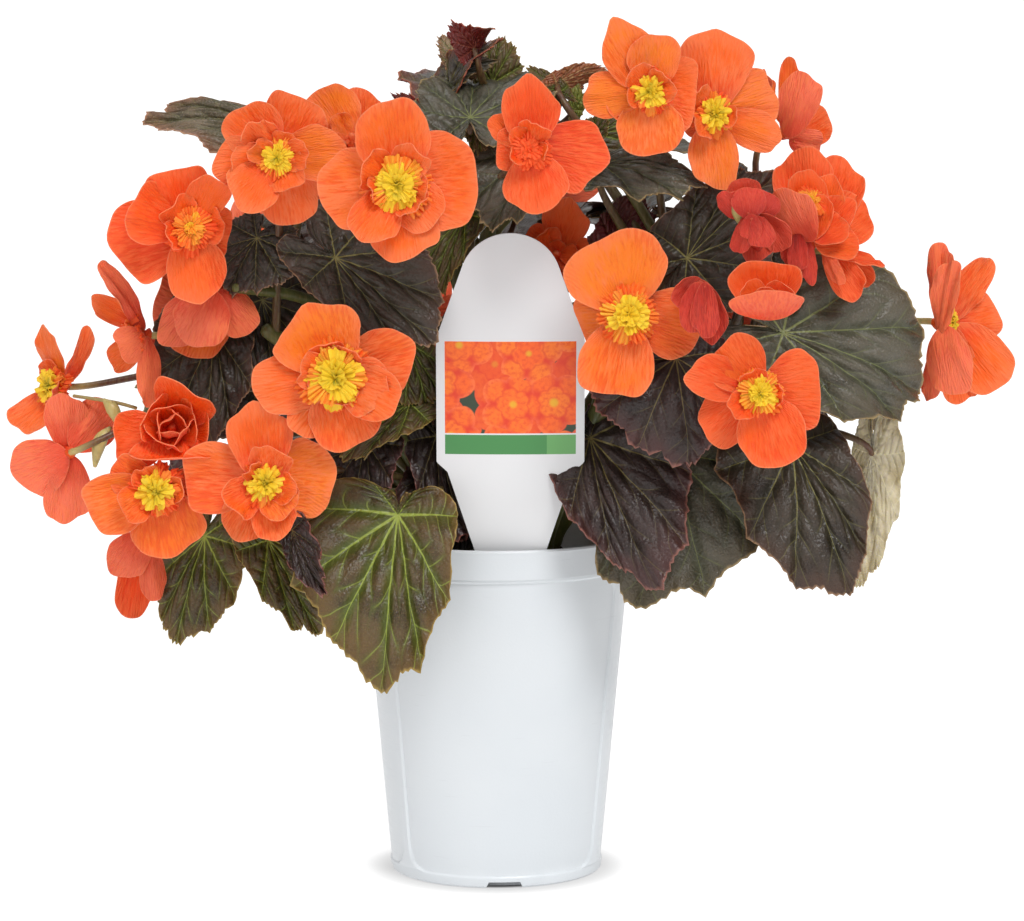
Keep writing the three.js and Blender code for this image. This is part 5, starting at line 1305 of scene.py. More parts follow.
def leaf_surface(leaf, sizes):
    """The middle surface of a leaf and its UV: rings from the foot to the edge, crossed by rays.

    The rays are spread so that whole numbers are main veins. The edge is a broad heart with a point
    at the tip and at each vein, of uneven reach, cut into teeth. The blade arches, its sides hang,
    its face buckles, its edge waves and frills, and it puffs up between the veins.
    """
    count = int(2 * VEIN_SPAN * LEAF_RAYS) // 2 * 2
    vein = np.linspace(-VEIN_SPAN, VEIN_SPAN, count + 1)
    share = np.concatenate([np.linspace(0, 0.93, LEAF_RINGS - 2), [0.965, 1.0]])
    share, number = grid_of(share, vein[:-1])
    angle = np.radians(VEIN_ANGLES[0] * number + VEIN_ANGLES[1] * number * np.abs(number))
    notch = 1 - 0.8 * np.exp(-(((math.pi - np.abs(angle)) / 0.3) ** 2))
    edge = (0.72 + 0.22 * np.cos(angle)) * notch + 0.1 * np.exp(-((angle / 0.25) ** 2))
    edge = edge * (1 - (1 - leaf.lobe) * smooth(1.7, 2.5, np.abs(angle)))
    off = number - np.round(number)
    least, most = 0.3, 1.7
    uneven = pick(leaf.seed + np.round(number) * 3.1, least, most)
    uneven = np.where(np.abs(number) < 0.5, least, uneven)
    edge = edge * (1 + sizes.lobes * uneven * ((1 - 2 * np.abs(off)) ** 1.4 - 0.35))
    sway = 0.03 * np.sin(2 * angle + leaf.phase)
    sway = sway + 0.025 * np.sin(4.4 * angle + 2 * leaf.phase) * (share > 0)
    edge = edge * (1 + sway)
    ray = np.arange(count)
    tooth = np.where(ray % 2, 1, -1) * pick(leaf.seed + ray * 1.7, 0, 1.5)
    tooth = tooth + 1.4 * np.where(ray % 6 < 3, 1, -1) * pick(leaf.seed + ray // 3 * 2.3, 0, 1)
    rim = smooth(0.965, 1.0, share)
    reach = edge * share * (1 + sizes.tooth / MM / leaf.length * tooth * rim)
    u = reach * np.cos(angle)
    v = reach * np.sin(angle) * leaf.breadth * (1 + leaf.lean * np.sign(angle))
    away = np.abs(off) * np.radians(VEIN_ANGLES[0] + 2 * VEIN_ANGLES[1] * np.abs(number)) * reach
    twig = share * (1 - 0.95 * np.abs(off)) * 5.5 + 0.25 * np.sign(off) + 0.3 * np.sin(np.round(number))
    puff = 1 - np.exp(-((away / 0.07) ** 2)) + 0.35 * smooth(0, 0.3, np.abs(twig - np.round(twig)))
    frill = np.sin(13 * angle + 2 * leaf.phase) + 0.7 * np.sin(22 * angle + leaf.phase)
    rise = leaf.arch * (4 * u * (1 - u) - 0.5 * np.abs(v))
    rise = rise + leaf.wave * share**2 * np.sin(5 * angle + leaf.phase)
    rise = rise + leaf.frill * sizes.frill * share**6 * frill + sizes.puff * puff * smooth(0, 0.25, share)
    rise = rise + leaf.roll * v**2 - leaf.droop * u**2
    buckle = np.sin(8 * u + leaf.phase) * np.sin(7 * v + 2 * leaf.phase)
    buckle = buckle + 0.6 * np.sin(15 * u - 4 * v + leaf.phase)
    rise = rise + sizes.buckle * buckle * smooth(0.15, 0.6, share)
    offset = np.stack([u, v, rise], -1) * leaf.length
    points = leaf.foot + offset @ np.stack([leaf.along, leaf.across, leaf.normal])
    uv = np.stack(grid_of(share[:, 0], vein / (2 * VEIN_SPAN) + 0.5)[::-1], -1)
    return points, uv


def add_leaf(skin, leaf, sizes):
    """A leaf as a thin solid, with a tone of its own."""
    surface, uv = leaf_surface(leaf, sizes)
    skin.sheet(surface, sizes.leaf_thickness / MM, uv, pick(leaf.seed + 9, 0, 1), wrap=True)


def all_leaves():
    """Every leaf, with the seeds that the solids use."""
    leaves = []
    for i, (foot, tip, width, *rest) in enumerate(FRONT_LEAVES + SMALL_LEAVES):
        width = width * pixel(foot[2])
        leaves.append(leaf_frame(from_view(*foot), from_view(*tip), width, 11 * i + 1, *rest))
    for i, (foot, tip, width, *rest) in enumerate(BACK_LEAVES):
        leaves.append(leaf_frame(vector(*foot), vector(*tip), width, 11 * i + BACK_LEAF_SEED, *rest))
    return leaves


# -------- stems and stalks


def stem_path(stem, steps=28):
    """A smooth curve from below the soil through the stem's bend to its tip (Catmull-Rom)."""
    (x, y), bend, tip = STEMS[stem]
    knots = [vector(x, y, SOIL.surface - STEM.depth), vector(x * 1.15, y * 1.15, SOIL.surface + 14)]
    knots += [vector(*bend), vector(*tip)]
    knots = [2 * knots[0] - knots[1], *knots, 2 * knots[-1] - knots[-2]]
    t = np.linspace(0, 1, steps)[:-1, None]
    parts = []
    for a, b, c, d in zip(knots, knots[1:], knots[2:], knots[3:]):
        curve = 2 * b + (c - a) * t + (2 * a - 5 * b + 4 * c - d) * t * t + (3 * b - a - 3 * c + d) * t**3
        parts.append(curve / 2)
    return np.concatenate([*parts, [knots[-2]]])


def stalk_path(stem, tip, behind, steps=18):
    """A stalk's curve: from the upper stem, below and behind what it carries, to its tip."""
    below = tip + vector(-tip[0] * 0.3, -tip[1] * 0.45, -34)
    path = stem_path(stem)
    upper = path[int(len(path) * STEM.bare) :]
    start = upper[np.argmin(np.linalg.norm(upper - below, axis=1))]
    reach = np.linalg.norm(tip - start)
    rise = start + (tip - start) * 0.4 + vector(0, 0, reach * 0.12)
    return bezier(start, rise, tip + behind * reach * 0.25, tip, steps)


def stem_skin(stem, leaves, blooms):
    """One stem with the stalks of its leaves and blooms, and its shoots.

    A stalk's tone rises along it, from green through red to the paler tip next to a bloom.
    """
    skin = Skin()
    path = stem_path(stem)
    share = np.linspace(0, 1, len(path))
    swollen = 1 + 0.12 * np.exp(-(((share * STEM.joints % 1) - 0.5) ** 2) / 0.01)
    skin.tube(path, STEM.radius * (1.05 - 0.35 * share) * swollen, 14, 0.25 * share)
    for leaf in leaves:
        behind = unit(-0.9 * leaf.normal - 0.4 * leaf.along)
        stalk = stalk_path(stem, leaf.foot - 1.3 * leaf.normal, behind)
        t = np.linspace(0, 1, len(stalk))
        skin.tube(stalk, STEM.leaf_stalk * (1.3 - 0.68 * t), 10, 0.2 + 0.6 * t)
    for bloom in blooms:
        stalk = stalk_path(stem, bloom.base - bloom.facing * GAP, -bloom.facing)
        t = np.linspace(0, 1, len(stalk))
        tone = 0.5 + 0.4 * t + 0.7 * t**3
        skin.tube(stalk, STEM.bloom_stalk * (1.25 - 0.4 * t + 0.2 * t**8), 8, tone)
    for start, middle, end, (thin, thick), tone in SHOOTS.get(stem, ()):
        points = [from_view(*place) for place in (start, middle, middle, end)]
        t = np.linspace(-1, 1, 12)
        skin.tube(bezier(*points, len(t)), thin + (thick - thin) * (1 - t * t), 12, tone)
    return skin


# -------- pot, soil and label


def pot_skin():
    """The pot: a wall profile carried round the axis, with panels sunk between upright ribs.

    A panel is a rectangle with rounded corners on the unrolled wall, and its depth fades out over
    a soft edge. Rows and columns lie closer together along the panels' edges.
    """
    shoulder = POT_TOP - POT.collar_height
    slope = (POT.shoulder - POT.base) / shoulder
    foot_rows = [POT.chamfer, 2, 3, 3.7, 4.1, 4.4, 4.7, 5, 5.4, 6.2, 7, 8, 9.5, 11, 13, 15]
    z = np.concatenate([
        foot_rows, np.linspace(18, 102, 18), np.arange(105, shoulder - 3, 0.7),
        np.linspace(shoulder - 2.6, shoulder, 14),
    ])
    wall = np.stack([POT.base + POT.recess + slope * (z - POT.chamfer), z], -1)
    wall[:, 0] -= POT.foot_step * (1 - smooth(POT.foot - 0.4, POT.foot + 0.4, z))
    low = [(0, 0), (POT.base * 0.5, 0), (POT.base - POT.chamfer - 0.6, 0), (POT.base - 0.35, 0.25)]
    rounding = [(0.35, 2), (0, 0.9), (0.3, 0.2), (0.9, 0), (1.6, 0.3), (1.9, 1.2), (2.2, 6)]
    lip = [(POT.collar + 0.35, shoulder + 0.15)]
    lip += [(RIM_RADIUS - inward, POT_TOP - down) for inward, down in rounding]
    inside = [
        (RIM_RADIUS - 3, shoulder - 4), (POT.base - POT.wall, POT.floor),
        (POT.base * 0.5, POT.floor), (0, POT.floor),
    ]
    profile = np.concatenate([low, wall, lip, inside])
    beside = np.radians(np.arange(-12, 12.1, 0.45))
    near_rib = np.concatenate([beside + TURN * k / POT.panels for k in range(POT.panels)])
    turn = np.concatenate([np.linspace(0, TURN, 181)[:-1], near_rib % TURN])
    turn = np.unique(np.round(turn, 4))
    radius, angle = grid_of(profile[:, 0], turn)
    height = np.broadcast_to(profile[:, 1:], radius.shape)
    half = math.pi / POT.panels * radius - POT.rib
    across = np.abs((angle % (TURN / POT.panels)) - math.pi / POT.panels) * radius
    top = shoulder - POT.brow
    middle, reach = (top + POT.foot) / 2, (top - POT.foot) / 2
    beyond = np.maximum(across - (half - POT.corner), 0)
    above = np.maximum(np.abs(height - middle) - (reach - POT.corner), 0)
    depth = POT.recess * (1 - smooth(-POT.edge, POT.edge, np.hypot(beyond, above) - POT.corner))
    row = np.arange(len(profile))
    outer = (row >= len(low)) & (row < len(low) + len(wall))
    radius = radius - depth * outer[:, None]
    way = -math.pi / 2 + POT.first_rib - angle
    skin = Skin()
    skin.shell(np.stack([radius * np.cos(way), radius * np.sin(way), height], -1))
    return skin


def cut_slots(pot):
    """Cuts the drainage slots where the wall meets the floor, each narrower at its top."""
    past, below = 4, 1  # how far the cutter stands out of the wall and the floor
    for k in range(POT.slots):
        turn = TURN * k / POT.slots - math.pi / 2 + POT.first_slot
        out = vector(math.cos(turn), math.sin(turn), 0)
        side = vector(-math.sin(turn), math.cos(turn), 0)
        corners = [
            out * radius + side * width * half + vector(0, 0, z)
            for radius in (POT.base - POT.slot_depth, POT.base + past)
            for width, z in ((POT.slot_width + 0.6, -below), (POT.slot_top, POT.slot_height))
            for half in (0.5, -0.5)
        ]
        mesh = bpy.data.meshes.new("slot")
        faces = [(0, 1, 3, 2), (4, 6, 7, 5), (0, 4, 5, 1), (2, 3, 7, 6), (0, 2, 6, 4), (1, 5, 7, 3)]
        mesh.from_pydata([tuple(corner * MM) for corner in corners], [], faces)
        cutter = bpy.data.objects.new("slot", mesh)
        bpy.context.scene.collection.objects.link(cutter)
        modifier = pot.modifiers.new("slot", "BOOLEAN")
        modifier.object = cutter
        modifier.operation = "DIFFERENCE"
        modifier.solver = "EXACT"
        bpy.context.view_layer.update()
        cut = bpy.data.meshes.new_from_object(pot.evaluated_get(bpy.context.evaluated_depsgraph_get()))
        pot.modifiers.clear()
        pot.data = cut
        bpy.data.objects.remove(cutter)


def soil_skin():
    """The soil: a plug that fills the pot, with a crumbled top of two sizes of ripple and a scatter."""
    inner = POT.base - POT.wall + (RIM_RADIUS - POT.base) * SOIL.surface / POT_TOP - GAP
    turn = np.arange(140) * TURN / 140
    share, angle = grid_of(np.linspace(0, 1, 46), turn)
    x, y = share * inner * np.cos(angle), share * inner * np.sin(angle)
    crumb = np.sin(x * 0.9 + 2 * np.sin(y * 0.5)) * np.cos(y * 0.8 + 1.5 * np.sin(x * 0.4))
    crumb = crumb + 0.6 * np.sin(x * 2.3 + np.sin(y * 1.9) * 2) * np.sin(y * 2.1 + np.cos(x * 1.3))
    crumb = crumb + 0.35 * pick(np.round(x * 1.1) * 7.1 + np.round(y * 1.1) * 3.3, -1, 1)
    crumb = SOIL.crumb * 0.6 * crumb * (share > 0) * (1 - share**8)
    top = np.stack([x, y, SOIL.surface + SOIL.dome * (1 - share**2) + crumb], -1)
    low = POT.floor + GAP
    foot = POT.base - POT.wall - GAP
    around = np.stack([np.cos(turn), np.sin(turn)], -1)
    side = np.column_stack([around * foot, np.full(len(turn), low)])
    centre = np.broadcast_to(vector(0, 0, low), side.shape)
    skin = Skin()
    skin.shell(np.concatenate([top, side[None], centre[None]]))
    return skin


def bark_skin():
    """Chips of bark on the soil: small spheres of few sides, squashed, uneven and turned."""
    skin = Skin()
    rings, sides = 4, 6
    for n in range(BARK.chips):
        radius, turn = BARK.spread * math.sqrt(pick(n, 0, 1)), pick(n + 500, 0, TURN)
        height = SOIL.surface + pick(n + 900, *BARK.lift)
        centre = vector(radius * math.cos(turn), radius * math.sin(turn), height)
        size = vector(pick(n + 1, *BARK.length), pick(n + 2, *BARK.breadth), pick(n + 3, *BARK.height))
        around = np.arange(sides) * TURN / sides + pick(n + 4, 0, 1)
        lat, lon = grid_of(np.array([0, 0.3, 0.7, 1]) * math.pi, around)
        ball = np.stack([np.sin(lat) * np.cos(lon), np.sin(lat) * np.sin(lon), np.cos(lat)], -1)
        uneven = pick(np.arange(rings * sides).reshape(rings, sides) + n, 0.75, 1.2)
        x, y, z = np.moveaxis(ball * size * uneven[..., None], -1, 0)
        c, s = math.cos(pick(n + 5, 0, 6)), math.sin(pick(n + 5, 0, 6))
        spun = np.stack([x * c - y * s, x * s + y * c, z], -1)
        spun[0], spun[-1] = spun[0, 0], spun[-1, 0]
        skin.shell(spun + centre, pick(n + 6, 0, 1))
    return skin


def label_skin():
    """The label: a thin card whose half width is a function of height, leaning over the rim.

    It tapers from its stake to the neck, steps out at the notch, and ends in a dome. It bows back
    at its sides and sways a little along its length.
    """
    L = LABEL
    dome = np.linspace(L.dome_start, math.pi / 2, 22)
    corners = [
        (0.4, -L.stake), (L.neck_half, 0), (L.notch_half, L.notch), (L.half - 0.5, L.foot - 0.2),
        (L.half, L.foot + 0.6), (L.half, 60), (L.half, L.shoulder - 1.5), (L.half - 0.4, L.shoulder + 0.8),
    ]
    half, height = np.array(corners).T
    half = np.concatenate([half, L.dome * np.cos(dome)])
    height = np.concatenate([height, L.top - L.dome + L.dome * np.sin(dome)])
    half[-1] = 0.6
    rows = np.unique(np.concatenate([height, np.arange(-50, 105, 4.0)]))
    half = np.interp(rows, height, half)
    z, s = grid_of(rows, np.linspace(-1, 1, 17))
    x = s * half[:, None]
    bow = -L.bow * (x / L.half) ** 2 + L.sway * np.sin(z / 60)
    c, n = math.cos(L.lean), math.sin(L.lean)
    points = np.stack([L.centre_x + x, L.rim_y - z * n - bow * c, POT_TOP + z * c - bow * n], -1)
    uv = np.stack([x / CARD_SPAN + 0.5, (z + L.stake) / CARD_SPAN], -1)
    skin = Skin()
    skin.sheet(points[:, ::-1], L.thickness, uv[:, ::-1], 0)
    return skin


# -------- sizes and colours to change


def colour(name, rgb):
    """A colour to change, in linear light."""
    settings = {"subtype": "COLOR", "size": 3, "min": 0, "max": 1}
    return FloatVectorProperty(name=name, description=f"{name}, linear", default=rgb, **settings)


def distance(name, text, metres):
    """A length to change."""
    settings = {"unit": "LENGTH", "subtype": "DISTANCE", "min": 0}
    return FloatProperty(name=name, description=text, default=metres, **settings)


def share(name, text, value):
    """A plain number to change."""
    return FloatProperty(name=name, description=text, default=value, min=0)


def count(name, text, value):
    """A whole number to change."""
    return IntProperty(name=name, description=text, default=value, min=6)


class BegoniaSizes(bpy.types.PropertyGroup):
    """Thicknesses, the fineness of petals, and how uneven a leaf is"""

    petal_thickness: distance("Petal thickness", "Through a petal", 0.00035)
    petal_rows: count("Petal rows", "Grid rows of a large petal", 22)
    petal_columns: count("Petal columns", "Grid columns of a large petal", 20)
    leaf_thickness: distance("Leaf thickness", "Through a leaf", 0.0005)
    tooth: distance("Tooth", "How far a leaf's teeth stand out", 0.0007)
    lobes: share("Lobes", "How far a leaf's edge reaches out at a main vein", 0.085)
    frill: share("Frill", "Height of the waves in a leaf's edge, as a share of its length", 0.016)
    puff: share("Puff", "How far a leaf rises between its veins, as a share of its length", 0.026)
    buckle: share("Buckle", "How far a leaf's face swells and dips, as a share of its length", 0.013)


class BegoniaColours(bpy.types.PropertyGroup):
    """Colours of the petals, hearts, stalks, pot, soil and label"""

    petal: colour("Petal", (0.95, 0.125, 0.008))
    warm: colour("Petal, warmer", (0.97, 0.20, 0.010))
    # deep: the petals' own deep colour, used also as painted shade at their feet and on inner petals
    deep: colour("Petal, at its foot", (0.76, 0.038, 0.006))
    pale: colour("Petal, at its edge", (0.96, 0.20, 0.065))
    # rim: a painted highlight along each petal's edge
    rim: colour("Petal, rim", (0.96, 0.31, 0.15))
    back: colour("Petal, behind", (0.82, 0.085, 0.036))
    back_pale: colour("Petal, behind, at its edge", (0.94, 0.18, 0.085))
    # The inmost olive and the stamen feet stand for painted shade deep in the tuft.
    stamen_heart: colour("Stamens, inmost", (0.30, 0.26, 0.015))
    stamen: colour("Stamens", (0.78, 0.50, 0.016))
    stamen_tip: colour("Stamen tips", (0.92, 0.60, 0.04))
    stamen_foot: colour("Stamen feet", (0.42, 0.26, 0.012))
    frill: colour("Frill", (0.93, 0.30, 0.04))
    frill_pale: colour("Frill, outermost", (0.90, 0.11, 0.025))
    stalk: colour("Stalk", (0.10, 0.115, 0.025))
    stalk_red: colour("Stalk, reddened", (0.11, 0.036, 0.02))
    stalk_tip: colour("Stalk, next to a bloom", (0.52, 0.42, 0.15))
    stalk_pale: colour("Stalk, streaks", (0.24, 0.21, 0.075))
    pot: colour("Pot", (0.68, 0.71, 0.735))
    pot_shade: colour("Pot, clouded", (0.645, 0.68, 0.71))
    pot_scuff: colour("Pot, scuffs", (0.56, 0.58, 0.60))
    soil: colour("Soil", (0.012, 0.009, 0.007))
    soil_bark: colour("Soil, bark", (0.045, 0.028, 0.018))
    card: colour("Label card", (0.75, 0.755, 0.765))
    bar: colour("Label bar", (0.06, 0.25, 0.07))
    bar_pale: colour("Label bar, pale", (0.14, 0.38, 0.12))
    print_dark: colour("Label print, dark", (0.02, 0.03, 0.02))
    print_green: colour("Label print, green", (0.04, 0.07, 0.03))


# What the blooms of a redder orange have of their own, and the colours of the buds, whose rim is a painted
# highlight as on the petals.
VIVID = {"petal": (0.93, 0.082, 0.006), "warm": (0.95, 0.12, 0.007), "pale": (0.95, 0.15, 0.04)}
RED = Named(
    petal=(0.56, 0.026, 0.010), warm=(0.64, 0.045, 0.014), deep=(0.22, 0.008, 0.006),
    pale=(0.70, 0.08, 0.04), rim=(0.80, 0.16, 0.09), back=(0.48, 0.024, 0.014),
    back_pale=(0.66, 0.05, 0.028),
)

# The looks of leaves: colours of the blade, its patches and specks, the glow beside its veins, its
# veins, rim and edge, and of its underside, how far veins and glow show, how wide the veins are as
# a share of the blade, and how much light passes through it (glass).
LEAF_LOOKS = {
    "dark": Named(
        blade=(0.016, 0.010, 0.007), patch=(0.052, 0.038, 0.027), speck=(0.085, 0.064, 0.046),
        glow=(0.022, 0.022, 0.008), glow_share=0.6, vein=(0.20, 0.18, 0.055), vein_share=0.75,
        vein_width=0.016, twig_share=0.4, rim=(0.07, 0.030, 0.018), edge=(0.34, 0.19, 0.10), glass=0.02,
        under=(0.08, 0.024, 0.02), under_patch=(0.055, 0.034, 0.018), under_vein=(0.14, 0.12, 0.03),
    ),
    # grey: a grey-green leaf whose pale grey patches and specks are partly a painted sheen of the light on
    # leaves that face it
    "grey": Named(
        blade=(0.028, 0.025, 0.016), patch=(0.105, 0.092, 0.066), speck=(0.175, 0.155, 0.118),
        glow=(0.042, 0.052, 0.020), glow_share=0.6, vein=(0.20, 0.22, 0.075), vein_share=0.65,
        vein_width=0.015, twig_share=0.4, rim=(0.08, 0.055, 0.026), edge=(0.38, 0.26, 0.11), glass=0.04,
        under=(0.12, 0.05, 0.035), under_patch=(0.09, 0.07, 0.03), under_vein=(0.22, 0.19, 0.06),
    ),
    "purple": Named(
        blade=(0.016, 0.008, 0.007), patch=(0.044, 0.026, 0.023), speck=(0.078, 0.052, 0.047),
        glow=(0.024, 0.018, 0.010), glow_share=0.5, vein=(0.19, 0.15, 0.05), vein_share=0.65,
        vein_width=0.017, twig_share=0.35, rim=(0.075, 0.024, 0.022), edge=(0.30, 0.12, 0.09), glass=0.04,
        under=(0.14, 0.020, 0.022), under_patch=(0.09, 0.028, 0.02), under_vein=(0.18, 0.11, 0.03),
    ),
    "olive": Named(
        blade=(0.036, 0.022, 0.007), patch=(0.105, 0.066, 0.026), speck=(0.16, 0.11, 0.055),
        glow=(0.086, 0.118, 0.016), glow_share=0.85, vein=(0.28, 0.34, 0.055), vein_share=0.95,
        vein_width=0.023, twig_share=0.55, rim=(0.15, 0.078, 0.018), edge=(0.40, 0.27, 0.07), glass=0.12,
        under=(0.14, 0.08, 0.03), under_patch=(0.11, 0.10, 0.03), under_vein=(0.32, 0.31, 0.10),
    ),
    "tan": Named(
        blade=(0.085, 0.070, 0.040), patch=(0.19, 0.15, 0.10), speck=(0.30, 0.23, 0.17),
        glow=(0.11, 0.12, 0.05), glow_share=0.5, vein=(0.30, 0.28, 0.12), vein_share=0.6,
        vein_width=0.02, twig_share=0.4, rim=(0.26, 0.11, 0.06), edge=(0.50, 0.26, 0.16), glass=0.1,
        under=(0.30, 0.20, 0.12), under_patch=(0.40, 0.28, 0.18), under_vein=(0.46, 0.36, 0.20),
    ),
    "fresh": Named(
        blade=(0.16, 0.20, 0.03), patch=(0.22, 0.24, 0.05), speck=(0.26, 0.27, 0.08),
        glow=(0.20, 0.27, 0.04), glow_share=0.7, vein=(0.40, 0.42, 0.12), vein_share=0.8,
        vein_width=0.02, twig_share=0.4, rim=(0.26, 0.17, 0.05), edge=(0.48, 0.30, 0.10), glass=0.25,
        under=(0.40, 0.33, 0.19), under_patch=(0.66, 0.58, 0.42), under_vein=(0.70, 0.62, 0.42),
    ),
    "young": Named(
        blade=(0.045, 0.038, 0.034), patch=(0.085, 0.072, 0.064), speck=(0.15, 0.13, 0.115),
        glow=(0.11, 0.09, 0.02), glow_share=0.6, vein=(0.26, 0.24, 0.06), vein_share=0.7,
        vein_width=0.02, twig_share=0.4, rim=(0.20, 0.045, 0.02), edge=(0.50, 0.16, 0.08), glass=0.2,
        under=(0.20, 0.017, 0.015), under_patch=(0.12, 0.018, 0.013), under_vein=(0.30, 0.08, 0.04),
    ),
    "pleated": Named(
        blade=(0.17, 0.10, 0.05), patch=(0.28, 0.19, 0.11), speck=(0.36, 0.27, 0.18),
        glow=(0.20, 0.20, 0.07), glow_share=0.8, vein=(0.44, 0.42, 0.20), vein_share=1.0,
        vein_width=0.05, twig_share=0.2, rim=(0.24, 0.11, 0.06), edge=(0.44, 0.24, 0.12), glass=0.2,
        under=(0.36, 0.10, 0.04), under_patch=(0.27, 0.12, 0.05), under_vein=(0.46, 0.28, 0.12),
    ),
}

# -------- operators


def shades(colours):
    """A group of colours, by name."""
    return {name: getattr(colours, name) for name in type(colours).__annotations__}


def plant():
    """Every bloom and bud, near and far."""
    near = {name: near_bloom(name) for name in BLOOM_ORDER}
    return near | {name: far_bloom(name, i) for i, name in enumerate(FAR_BLOOMS)}


class BEGONIA_OT_pot(bpy.types.Operator):
    """Add the white nursery pot"""

    bl_idname = "begonia.pot"
    bl_label = "Pot"

    def execute(self, context):
        pot = pot_skin().build("pot_wall", pot_finish(context.scene.begonia_colours), "pot", ["pot"], 35)
        cut_slots(pot)
        return {"FINISHED"}


class BEGONIA_OT_soil(bpy.types.Operator):
    """Add the potting mix with its bark"""

    bl_idname = "begonia.soil"
    bl_label = "Soil"

    def execute(self, context):
        finish = soil_finish(context.scene.begonia_colours)
        soil_skin().build("potting_mix", finish, "soil", ["soil"])
        bark_skin().build("bark_chips", finish, "soil", smooth_edge=30)
        return {"FINISHED"}


class BEGONIA_OT_label(bpy.types.Operator):
    """Add the plant label"""

    bl_idname = "begonia.label"
    bl_label = "Label"

    def execute(self, context):
        label_skin().build("label_card", label_finish(context.scene.begonia_colours), "label", ["label"])
        return {"FINISHED"}


class BEGONIA_OT_foliage(bpy.types.Operator):
    """Add the stems, their stalks and their leaves"""

    bl_idname = "begonia.foliage"
    bl_label = "Stems and leaves"

    def execute(self, context):
        sizes = context.scene.begonia_sizes
        leaves = all_leaves()
        blooms = plant().values()
        stalk = stalk_finish(context.scene.begonia_colours)
        looks = {look: leaf_finish(f"leaf_{look}", c) for look, c in LEAF_LOOKS.items()}
        for stem in STEMS:
            own = [leaf for leaf in leaves if leaf.stem == stem]
            skin = stem_skin(stem, own, [bloom for bloom in blooms if bloom.stem == stem])
            skin.build(f"{stem}_stalks", stalk, "foliage", [stem])
            for look in sorted({leaf.look for leaf in own}):
                skin = Skin()
                for leaf in own:
                    if leaf.look == look:
                        add_leaf(skin, leaf, sizes)
                skin.build(f"{stem}_{look}_leaves", looks[look], "foliage", [stem])
        return {"FINISHED"}


class BEGONIA_OT_blooms(bpy.types.Operator):
    """Add the blooms and buds with their hearts"""

    bl_idname = "begonia.blooms"
    bl_label = "Blooms"

    def execute(self, context):
        sizes, colours = context.scene.begonia_sizes, context.scene.begonia_colours
        petals = petal_finish("petal_orange", colours)
        buds = petal_finish("bud_red", RED)
        vivid = petal_finish("petal_vivid", Named(**{**shades(colours), **VIVID}))
        stamens = heart_finish(colours)
        for name, bloom in plant().items():
            skin = Skin()
            receptacle(skin, bloom)
            outer_petals(skin, bloom, sizes)
            inner_petals(skin, bloom, sizes)
            turned_petals(skin, bloom, sizes)
            if bloom.heart == "rose":
                rose_heart(skin, bloom, sizes)
            is_bud = name in BUDS
            finish = buds if is_bud else vivid if name in VIVID_BLOOMS else petals
            skin.build(f"{name}_petals", finish, "buds" if is_bud else "petals", [name])
            tuft = f"{name}_stamens"
            if bloom.heart not in ("none", "rose"):
                replaced = [tuft] if tuft in frame["nodes"] else []
                heart_skin(bloom).build(f"{name}_heart", stamens, "stamens", replaced)
            elif tuft in frame["nodes"]:
                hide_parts(tuft)
        return {"FINISHED"}


# The stage, in metres: corners of the floor, radii of the painted contact shadow round the pot's
# foot, between which the floor's glow brightens again, the strength of the light all round, and the
# suns: the way each shines, its width in degrees and its strength.
FLOOR = [(-60, -30, 0), (60, -30, 0), (60, 160, 0), (-60, 160, 0)]
FLOOR_PAINTED_SHADOW = (0.037, 0.0415, 0.058)
WORLD_LIGHT = 0.32
SUNS = {
    "key": ((-0.35, 0.75, -1.0), 26, 2.0),
    "fill": ((0.4, 1.0, -0.25), 40, 0.4),
    "side": ((0.9, 0.35, -0.7), 36, 0.35),
    "back": ((0.2, -0.8, -0.8), 40, 0.45),
}


def floor_finish():
    """A pale floor that glows a little, less so next to the pot's foot, where a contact shadow is painted
    into its glow.
    """
    f = Finish("pale_floor")
    x, y = f.flat(f.place())
    away = (x * x + y * y).math("SQRT")
    inner, edge, outer = FLOOR_PAINTED_SHADOW
    # glow: the floor's even glow, dimmed next to the pot's foot as a painted contact shadow
    glow = f.rise(away, inner, edge, 0.02, 0.6) + f.rise(away, edge, outer, 0.0, 0.4)
    return f.close(
        Base_Color=(0.2, 0.2, 0.2, 1),
        Roughness=1.0,
        Specular_IOR_Level=0.0,
        Emission_Color=f.mix(glow, (0, 0, 0), (1, 1, 1)),
        Emission_Strength=0.97,
    )


def add_sun(scene, name, way, width, strength):
    """A sun that shines along a way."""
    light = bpy.data.lights.new(name, "SUN")
    light.angle = math.radians(width)
    light.energy = strength
    lamp = bpy.data.objects.new(name, light)
    scene.collection.objects.link(lamp)
    lamp.location = -vector(*way) * 2
    flat = math.hypot(way[0], way[1])
    lamp.rotation_euler = (math.atan2(flat, -way[2]), 0, math.atan2(-way[0], way[1]))


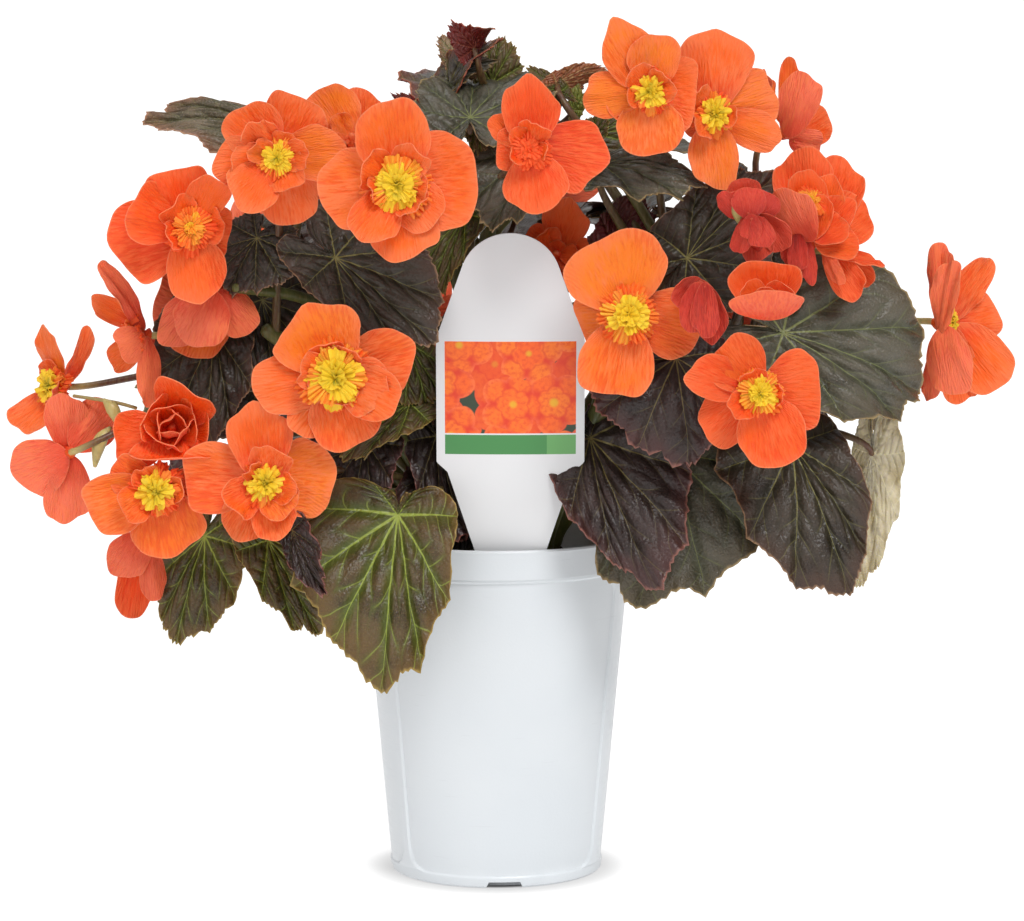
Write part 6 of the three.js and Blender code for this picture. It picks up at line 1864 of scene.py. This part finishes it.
class BEGONIA_OT_stage(bpy.types.Operator):
    """Add the floor, the lights and the camera"""

    bl_idname = "begonia.stage"
    bl_label = "Stage"

    def execute(self, context):
        scene = context.scene
        mesh = bpy.data.meshes.new("floor")
        mesh.from_pydata(FLOOR, [], [(0, 1, 2, 3)])
        mesh.materials.append(floor_finish())
        floor = bpy.data.objects.new("floor", mesh)
        scene.collection.objects.link(floor)
        world = bpy.data.worlds.new("studio")
        world.use_nodes = True
        background = world.node_tree.nodes["Background"]
        background.inputs["Color"].default_value = (1, 1, 1, 1)
        background.inputs["Strength"].default_value = WORLD_LIGHT
        scene.world = world
        for name, sun in SUNS.items():
            add_sun(scene, name, *sun)
        camera = bpy.data.cameras.new("camera")
        camera.sensor_fit = "HORIZONTAL"
        camera.lens = VIEW.focal / VIEW.width * camera.sensor_width
        camera.clip_start, camera.clip_end = 0.05, 400
        eye = bpy.data.objects.new("camera", camera)
        scene.collection.objects.link(eye)
        eye.location = [value * MM for value in VIEW.eye]
        eye.rotation_euler = (math.pi / 2 - VIEW.tilt, 0, 0)
        scene.camera = eye
        scene.view_settings.view_transform = "Standard"
        return {"FINISHED"}


class BEGONIA_PT_panel(bpy.types.Panel):
    """The begonia's pieces, sizes and colours"""

    bl_idname = "BEGONIA_PT_panel"
    bl_label = "Begonia"
    bl_space_type = "VIEW_3D"
    bl_region_type = "UI"
    bl_category = "Begonia"

    def draw(self, context):
        for operator in OPERATORS:
            self.layout.operator(operator.bl_idname)
        for group in (context.scene.begonia_sizes, context.scene.begonia_colours):
            box = self.layout.box()
            for name in group.bl_rna.properties.keys():
                if name not in ("rna_type", "name"):
                    box.prop(group, name)


OPERATORS = (
    BEGONIA_OT_pot,
    BEGONIA_OT_soil,
    BEGONIA_OT_label,
    BEGONIA_OT_foliage,
    BEGONIA_OT_blooms,
    BEGONIA_OT_stage,
)
CLASSES = (BegoniaSizes, BegoniaColours, *OPERATORS, BEGONIA_PT_panel)


def register():
    """Makes the panel, the operators and the properties known."""
    for item in CLASSES:
        bpy.utils.register_class(item)
    bpy.types.Scene.begonia_sizes = PointerProperty(type=BegoniaSizes)
    bpy.types.Scene.begonia_colours = PointerProperty(type=BegoniaColours)


def unregister():
    """Takes back what register did."""
    del bpy.types.Scene.begonia_colours
    del bpy.types.Scene.begonia_sizes
    for item in reversed(CLASSES):
        bpy.utils.unregister_class(item)


def main():
    """Builds the begonia."""
    register()
    bpy.ops.begonia.pot()
    bpy.ops.begonia.soil()
    bpy.ops.begonia.label()
    bpy.ops.begonia.foliage()
    bpy.ops.begonia.blooms()
    bpy.ops.begonia.stage()
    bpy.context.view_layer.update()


if __name__ == "__main__":
    main()
